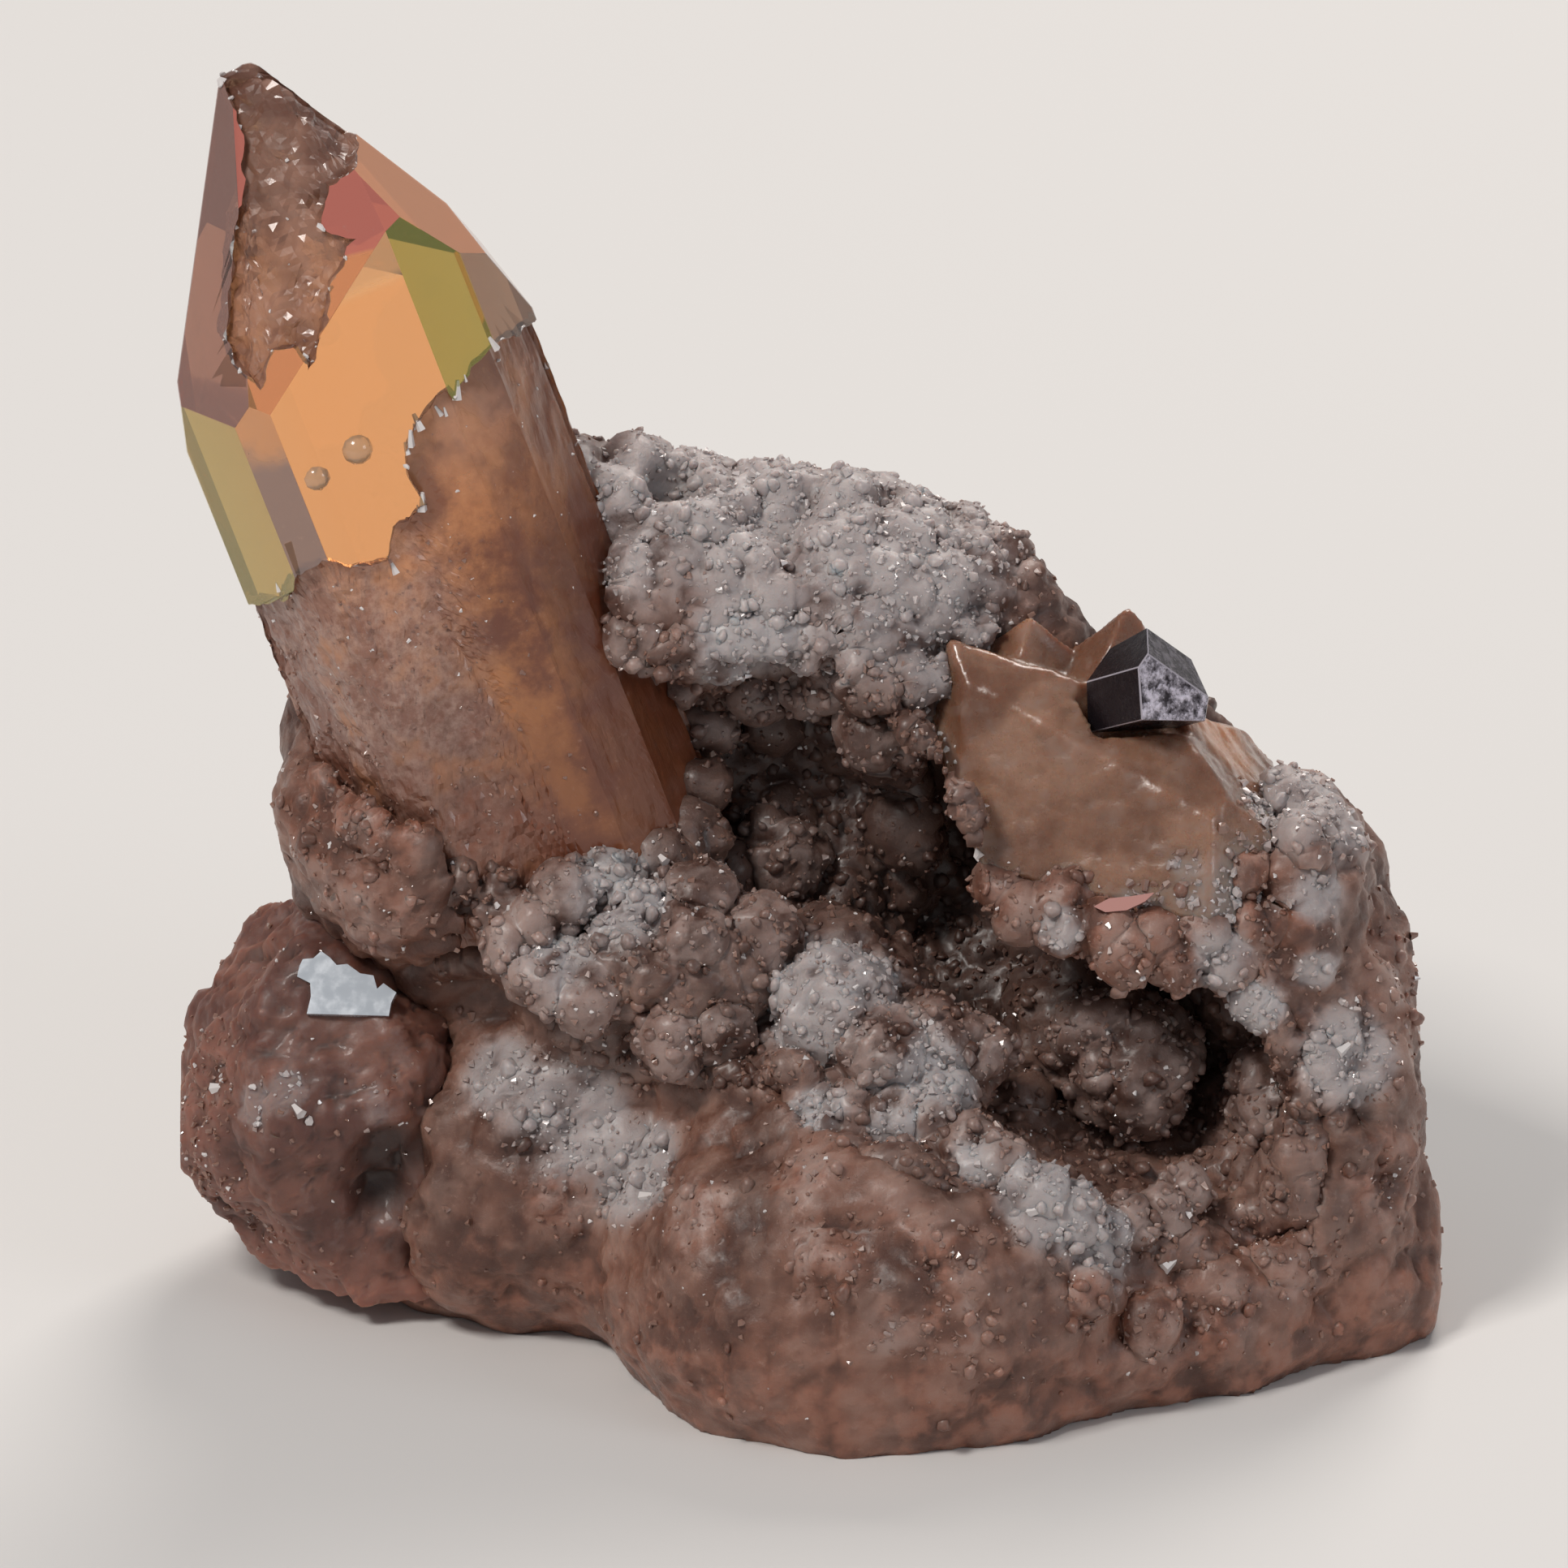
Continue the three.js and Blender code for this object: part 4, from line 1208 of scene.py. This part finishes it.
# painted glow on the orange face
paint(right_topaz, "glow", glow_spot)
paint(right_topaz, "crest", np.ones(len(right_points)))
keep_in_box(right_topaz)
finish(right_topaz, "brown_topaz", "right_topaz", material=BROWN_TOPAZ)

crusted = crusted * faces_front(right_topaz)
grow(
    "crystal_crust", right_topaz, "brown_topaz", crusted, SUGAR_FINISH,
    per_square_mm=26.0, sizes=(0.06, 0.22), unevenness=0.25, seed=43,
)
grow(
    "edge_glints", right_topaz, "brown_topaz", left_edge + crusted * 0.3, GLINT_FINISH,
    per_square_mm=2.2, sizes=(0.05, 0.2), unevenness=0.1, seed=47,
)

# %% [markdown]
# The left crystal is a rounded lobe with two dents. Its skin is raised by the same tree as the
# stone's, only finer, and stays plain where its mirror face lies.

# %% Make the etched left crystal
LOBE_PALE = [
    (-18.6, -2.6, 8.4, 0.9), (-17.4, -2.7, 9.0, 0.7), (-14.6, -2.3, 8.4, 0.8), (-16.0, 2.0, 12.9, 0.8),
]
LOBE_DENTS = [
    (-14.1, -2.9, 6.4, 1.3), (-14.3, -2.9, 5.2, 1.0),
]
LOBE_EDGE = [
    (-20.2, -0.6, 9.0, 1.4), (-20.4, -0.6, 7.0, 1.4), (-19.8, -0.8, 5.0, 1.4), (-18.2, -1.2, 3.2, 1.4),
]
MIRROR_SPOT = [(-15.4, -0.9, 11.4, 1.5)]

left_topaz = voxels(copy_of("left_topaz", "lobe_crystal"), 0.2)
lobe_points = points_of(left_topaz)
underside = ramp(-lobe_points[:, 2] / MM, -3.5, -1.2)
paint(left_topaz, "pale", spots(lobe_points, LOBE_PALE))
# painted glow along the lower left edge and near the bottom
paint(left_topaz, "glow", np.maximum(spots(lobe_points, LOBE_EDGE) * 0.5, underside))
# painted shade in the two dents
paint(left_topaz, "deep", spots(lobe_points, LOBE_DENTS))
paint(left_topaz, "dent", spots(lobe_points, LOBE_DENTS))
paint(left_topaz, "beaded", 1 - spots(lobe_points, MIRROR_SPOT))
raise_skin(left_topaz, swell=(2.2, 1.1), lump=(1.7, 0.38), bead=(0.7, 0.22), grain=(0.4, 0.12))
keep_in_box(left_topaz)
finish(left_topaz, "etched_topaz", "left_topaz", material=ETCHED_TOPAZ)

lobe_points = points_of(left_topaz)
bare = 1 - spots(lobe_points, MIRROR_SPOT)
lobe_cover = (0.08 + spots(lobe_points, LOBE_EDGE + LOBE_PALE)) * faces_front(left_topaz) * bare
grow(
    "lobe_sugar", left_topaz, "etched_topaz", lobe_cover, SUGAR_FINISH,
    per_square_mm=9.0, sizes=(0.04, 0.14), unevenness=0.25, seed=52,
)
grow(
    "lobe_glints", left_topaz, "etched_topaz", lobe_cover, GLINT_FINISH,
    per_square_mm=1.4, sizes=(0.04, 0.12), unevenness=0.25, seed=53,
)

# %% [markdown]
# ## Two flat faces that shine
# One flat remnant of the old crystal face still shines on the left crystal, and its pale blue-grey
# colour is a painted reflection. It is a thin plate with a straight lower edge and a ragged upper
# one. A small pink one lies in the crust of the right crystal.
# An outline's corners are given in mm to the right of and above its middle.

# %% Make the mirror face and the pink face
MIRROR_MIDDLE = Vector((-15.6, -1.06, 11.56)) * MM
MIRROR_NORMAL = Vector((-0.08, -0.80, 0.60)).normalized()
MIRROR_OUTLINE = [
    (-1.55, 1.0), (-1.45, 1.25), (-1.1, 1.3), (-0.85, 1.55), (-0.55, 1.35), (-0.3, 1.1), (0.05, 1.15),
    (0.5, 0.85), (0.95, 0.8), (1.1, 0.35), (1.3, 0.55), (1.75, 0.25), (1.6, -0.1), (1.55, -0.55),
    (-1.2, -0.6), (-1.1, 0.0), (-1.15, 0.45), (-1.6, 0.65),
]
PINK_MIDDLE = Vector((10.4, -3.25, 16.1)) * MM
PINK_NORMAL = Vector((-0.1, -0.85, 0.5)).normalized()
PINK_OUTLINE = [
    (-1.0, -0.15), (-0.5, 0.15), (0.2, 0.25), (1.0, 0.42), (0.7, 0.1), (0.1, -0.22), (-0.6, -0.32),
]
PLATE = 0.35 * MM
MIRROR_REFLECTION_DARK, MIRROR_REFLECTION_LIGHT = (0.52, 0.57, 0.63), (0.70, 0.75, 0.81)


def flat_face(name, middle, normal, outline):
    """A thin plate, sunk in its crystal but for its polished front."""
    side = Vector((0, 0, 1)).cross(normal).normalized()
    rise = normal.cross(side)
    corners = [middle + (side * right + rise * up) * MM for right, up in outline]
    model = bmesh.new()
    back, front = ([model.verts.new(corner + normal * depth) for corner in corners] for depth in (0, PLATE))
    model.faces.new(front)
    model.faces.new(back[::-1])
    for here in range(len(corners)):
        model.faces.new((back[here - 1], back[here], front[here], front[here - 1]))
    bmesh.ops.recalc_face_normals(model, faces=model.faces)
    mesh = bpy.data.meshes.new(name)
    model.to_mesh(mesh)
    model.free()
    return linked(name, mesh)


def mirror_finish():
    material, graph = new_material("mirror_painted_reflection")
    fine = graph.cloud(graph.place(), 0.5, 4.0)
    graph.surface({
        # painted reflection: pale blue-grey, added to the real shine of the coat
        "Base Color": graph.mixed(fine.step(0.4, 0.7), MIRROR_REFLECTION_DARK, MIRROR_REFLECTION_LIGHT),
        "Roughness": fine * 0.2 + 0.1,
        "Metallic": 0.3,
        "Coat Weight": 1.0,
        "Coat Roughness": 0.05,
    })
    return material


mirror = flat_face("mirror_face", MIRROR_MIDDLE, MIRROR_NORMAL, MIRROR_OUTLINE)
finish(mirror, "etched_topaz", material=mirror_finish())
pink = flat_face("pink_face", PINK_MIDDLE, PINK_NORMAL, PINK_OUTLINE)
finish(pink, "brown_topaz", material=glassy("pink_glint", (0.50, 0.25, 0.22), 0.2))

# %% [markdown]
# ## The bixbyite
# A black metallic crystal with slightly rounded edges, whose pale colour is a painted highlight. The
# face that looks to the front and the right catches the light in patches of painted reflection.

# %% Make the bixbyite
BIXBYITE_BLACK, BIXBYITE_SHEEN = (0.03, 0.024, 0.03), (0.78, 0.72, 0.82)
LIT_SIDE = Vector((0.45, -0.85, 0.3)).normalized()


def metal_black():
    material, graph = new_material("bixbyite_black")
    fine = graph.cloud(graph.place(), 0.4, 5.0, 0.7)
    # painted reflection in patches on the faces that look to the front and the right
    sheen_patches = fine.step(0.35, 0.7) * graph.number("bright")
    graph.surface({
        "Base Color": graph.mixed(sheen_patches, BIXBYITE_BLACK, BIXBYITE_SHEEN),
        "Metallic": 0.7,
        "Roughness": fine * 0.3 + 0.12,
        "Normal": graph.bump(fine, 0.5, 0.08),
    })
    return material


bixbyite = copy_of("bixbyite", "black_crystal")
toward = [face.normal.dot(LIT_SIDE) for face in bixbyite.data.polygons]
# painted reflection: how much each face looks to the front and the right
paint_faces(bixbyite, "bright", ramp(np.array(toward), 0.35, 0.95))
bixbyite.data.materials.append(metal_black())
# pale edges: a painted highlight on the rounded edges
bixbyite.data.materials.append(glassy("highlight_edges", (0.38, 0.35, 0.40), 0.15))
rounding = bixbyite.modifiers.new("rounded_edges", "BEVEL")
rounding.width = 0.04 * MM
rounding.segments = 1
rounding.material = 1
bake(bixbyite)
finish(bixbyite, "bixbyite", "bixbyite")

# %% [markdown]
# ## Single bright crystals
# A few clean crystals are larger than the grains, and each has a place of its own. Those along the
# torn rim of the main crystal are slim and stand nearly along it.

# %% Where they are
SPARKLES = {
    "druse": [
        (-3.0, -3.2, 13.8), (-5.2, -4.2, 12.4), (0.9, -4.6, 12.9), (-6.0, -3.2, 14.4),
        (-3.6, -4.6, 11.4), (11.9, -6.9, 5.6), (11.8, -7.3, 4.9), (2.6, -5.6, 12.2),
        (-5.3, -1.4, 16.6), (-5.0, -1.2, 16.9), (-8.4, -3.6, 15.0), (7.5, -9.4, 8.0),
    ],
    "rock": [
        (-4.6, -5.4, 6.6), (-5.4, -5.4, 6.2), (-7.2, -5.0, 7.0), (16.0, -1.6, 14.4),
        (15.6, -0.4, 16.6), (13.4, -3.6, 14.4), (18.0, -3.6, 11.0),
    ],
    "lobe_crystal": [
        (-16.8, -3.2, 8.2), (-19.9, -1.0, 8.3), (-13.6, -3.2, 7.6), (-17.2, -3.2, 8.5),
    ],
}
# in the main crystal's own directions, from its tip
RIM_SPARKLES = [
    (0.6, -4.4, -12.9), (0.8, -4.4, -12.6), (1.1, -4.4, -12.35), (1.3, -4.4, -12.3),
    (2.0, -4.4, -12.2), (2.15, -4.4, -12.3), (3.1, -4.2, -11.9), (3.3, -4.1, -11.65),
    (4.6, -3.5, -11.0), (-1.3, -4.4, -16.7), (0.2, -4.4, -15.2), (0.3, -4.4, -14.9),
    (-5.6, -2.8, -16.6),
]
print(sum(len(places) for places in SPARKLES.values()) + len(RIM_SPARKLES), "bright crystals")

# %% Make them
def sparkles(host, places, upright=None, slimness=0.8, largest=0.28):
    """One small clean crystal at each place, sunk halfway into the host."""
    model = bmesh.new()
    for index, place in enumerate(places):
        _, spot_on_host, *_ = host.closest_point_on_mesh(Vector(place) * MM)
        size = largest * MM * (0.68 + 0.32 * math.sin(index * 2.4))
        lean = Vector((math.sin(index * 1.3), math.cos(index * 2.1), 0.4))
        axis = upright * 3 + lean if upright else lean
        turn = axis.to_track_quat("Z", "Y").to_matrix().to_4x4()
        stretch = Matrix.Diagonal((slimness, slimness, 1.2, 1.0))
        middle = Matrix.Translation(spot_on_host) @ turn @ stretch
        shape = {"radius1": size, "radius2": size * 0.45, "depth": size * 1.7}
        bmesh.ops.create_cone(model, cap_ends=True, segments=5, matrix=middle, **shape)
    mesh = bpy.data.meshes.new(host.name + "_sparkles")
    model.to_mesh(mesh)
    model.free()
    piece = linked(mesh.name, mesh)
    keep_in_box(piece)
    return piece


for host, slot in ((druse, "druse"), (rock, "matrix"), (left_topaz, "etched_topaz")):
    finish(sparkles(host, SPARKLES[host.name]), slot, material=GLINT_FINISH)
rim_places = [(TOPAZ_TIP + in_crystal(*place) * MM) / MM for place in RIM_SPARKLES]
rim_sparkles = sparkles(main_topaz, rim_places, upright=TOPAZ_UP, slimness=0.5, largest=0.34)
finish(rim_sparkles, "clear_topaz", material=GLINT_FINISH)

# %% [markdown]
# ## Floor
# The floor is plain and pale.

# %% Floor finish
pale_floor, floor_graph = new_material("pale_floor")
floor_graph.surface({"Base Color": (0.70, 0.69, 0.68, 1), "Roughness": 0.8})
floor.data.materials.append(pale_floor)
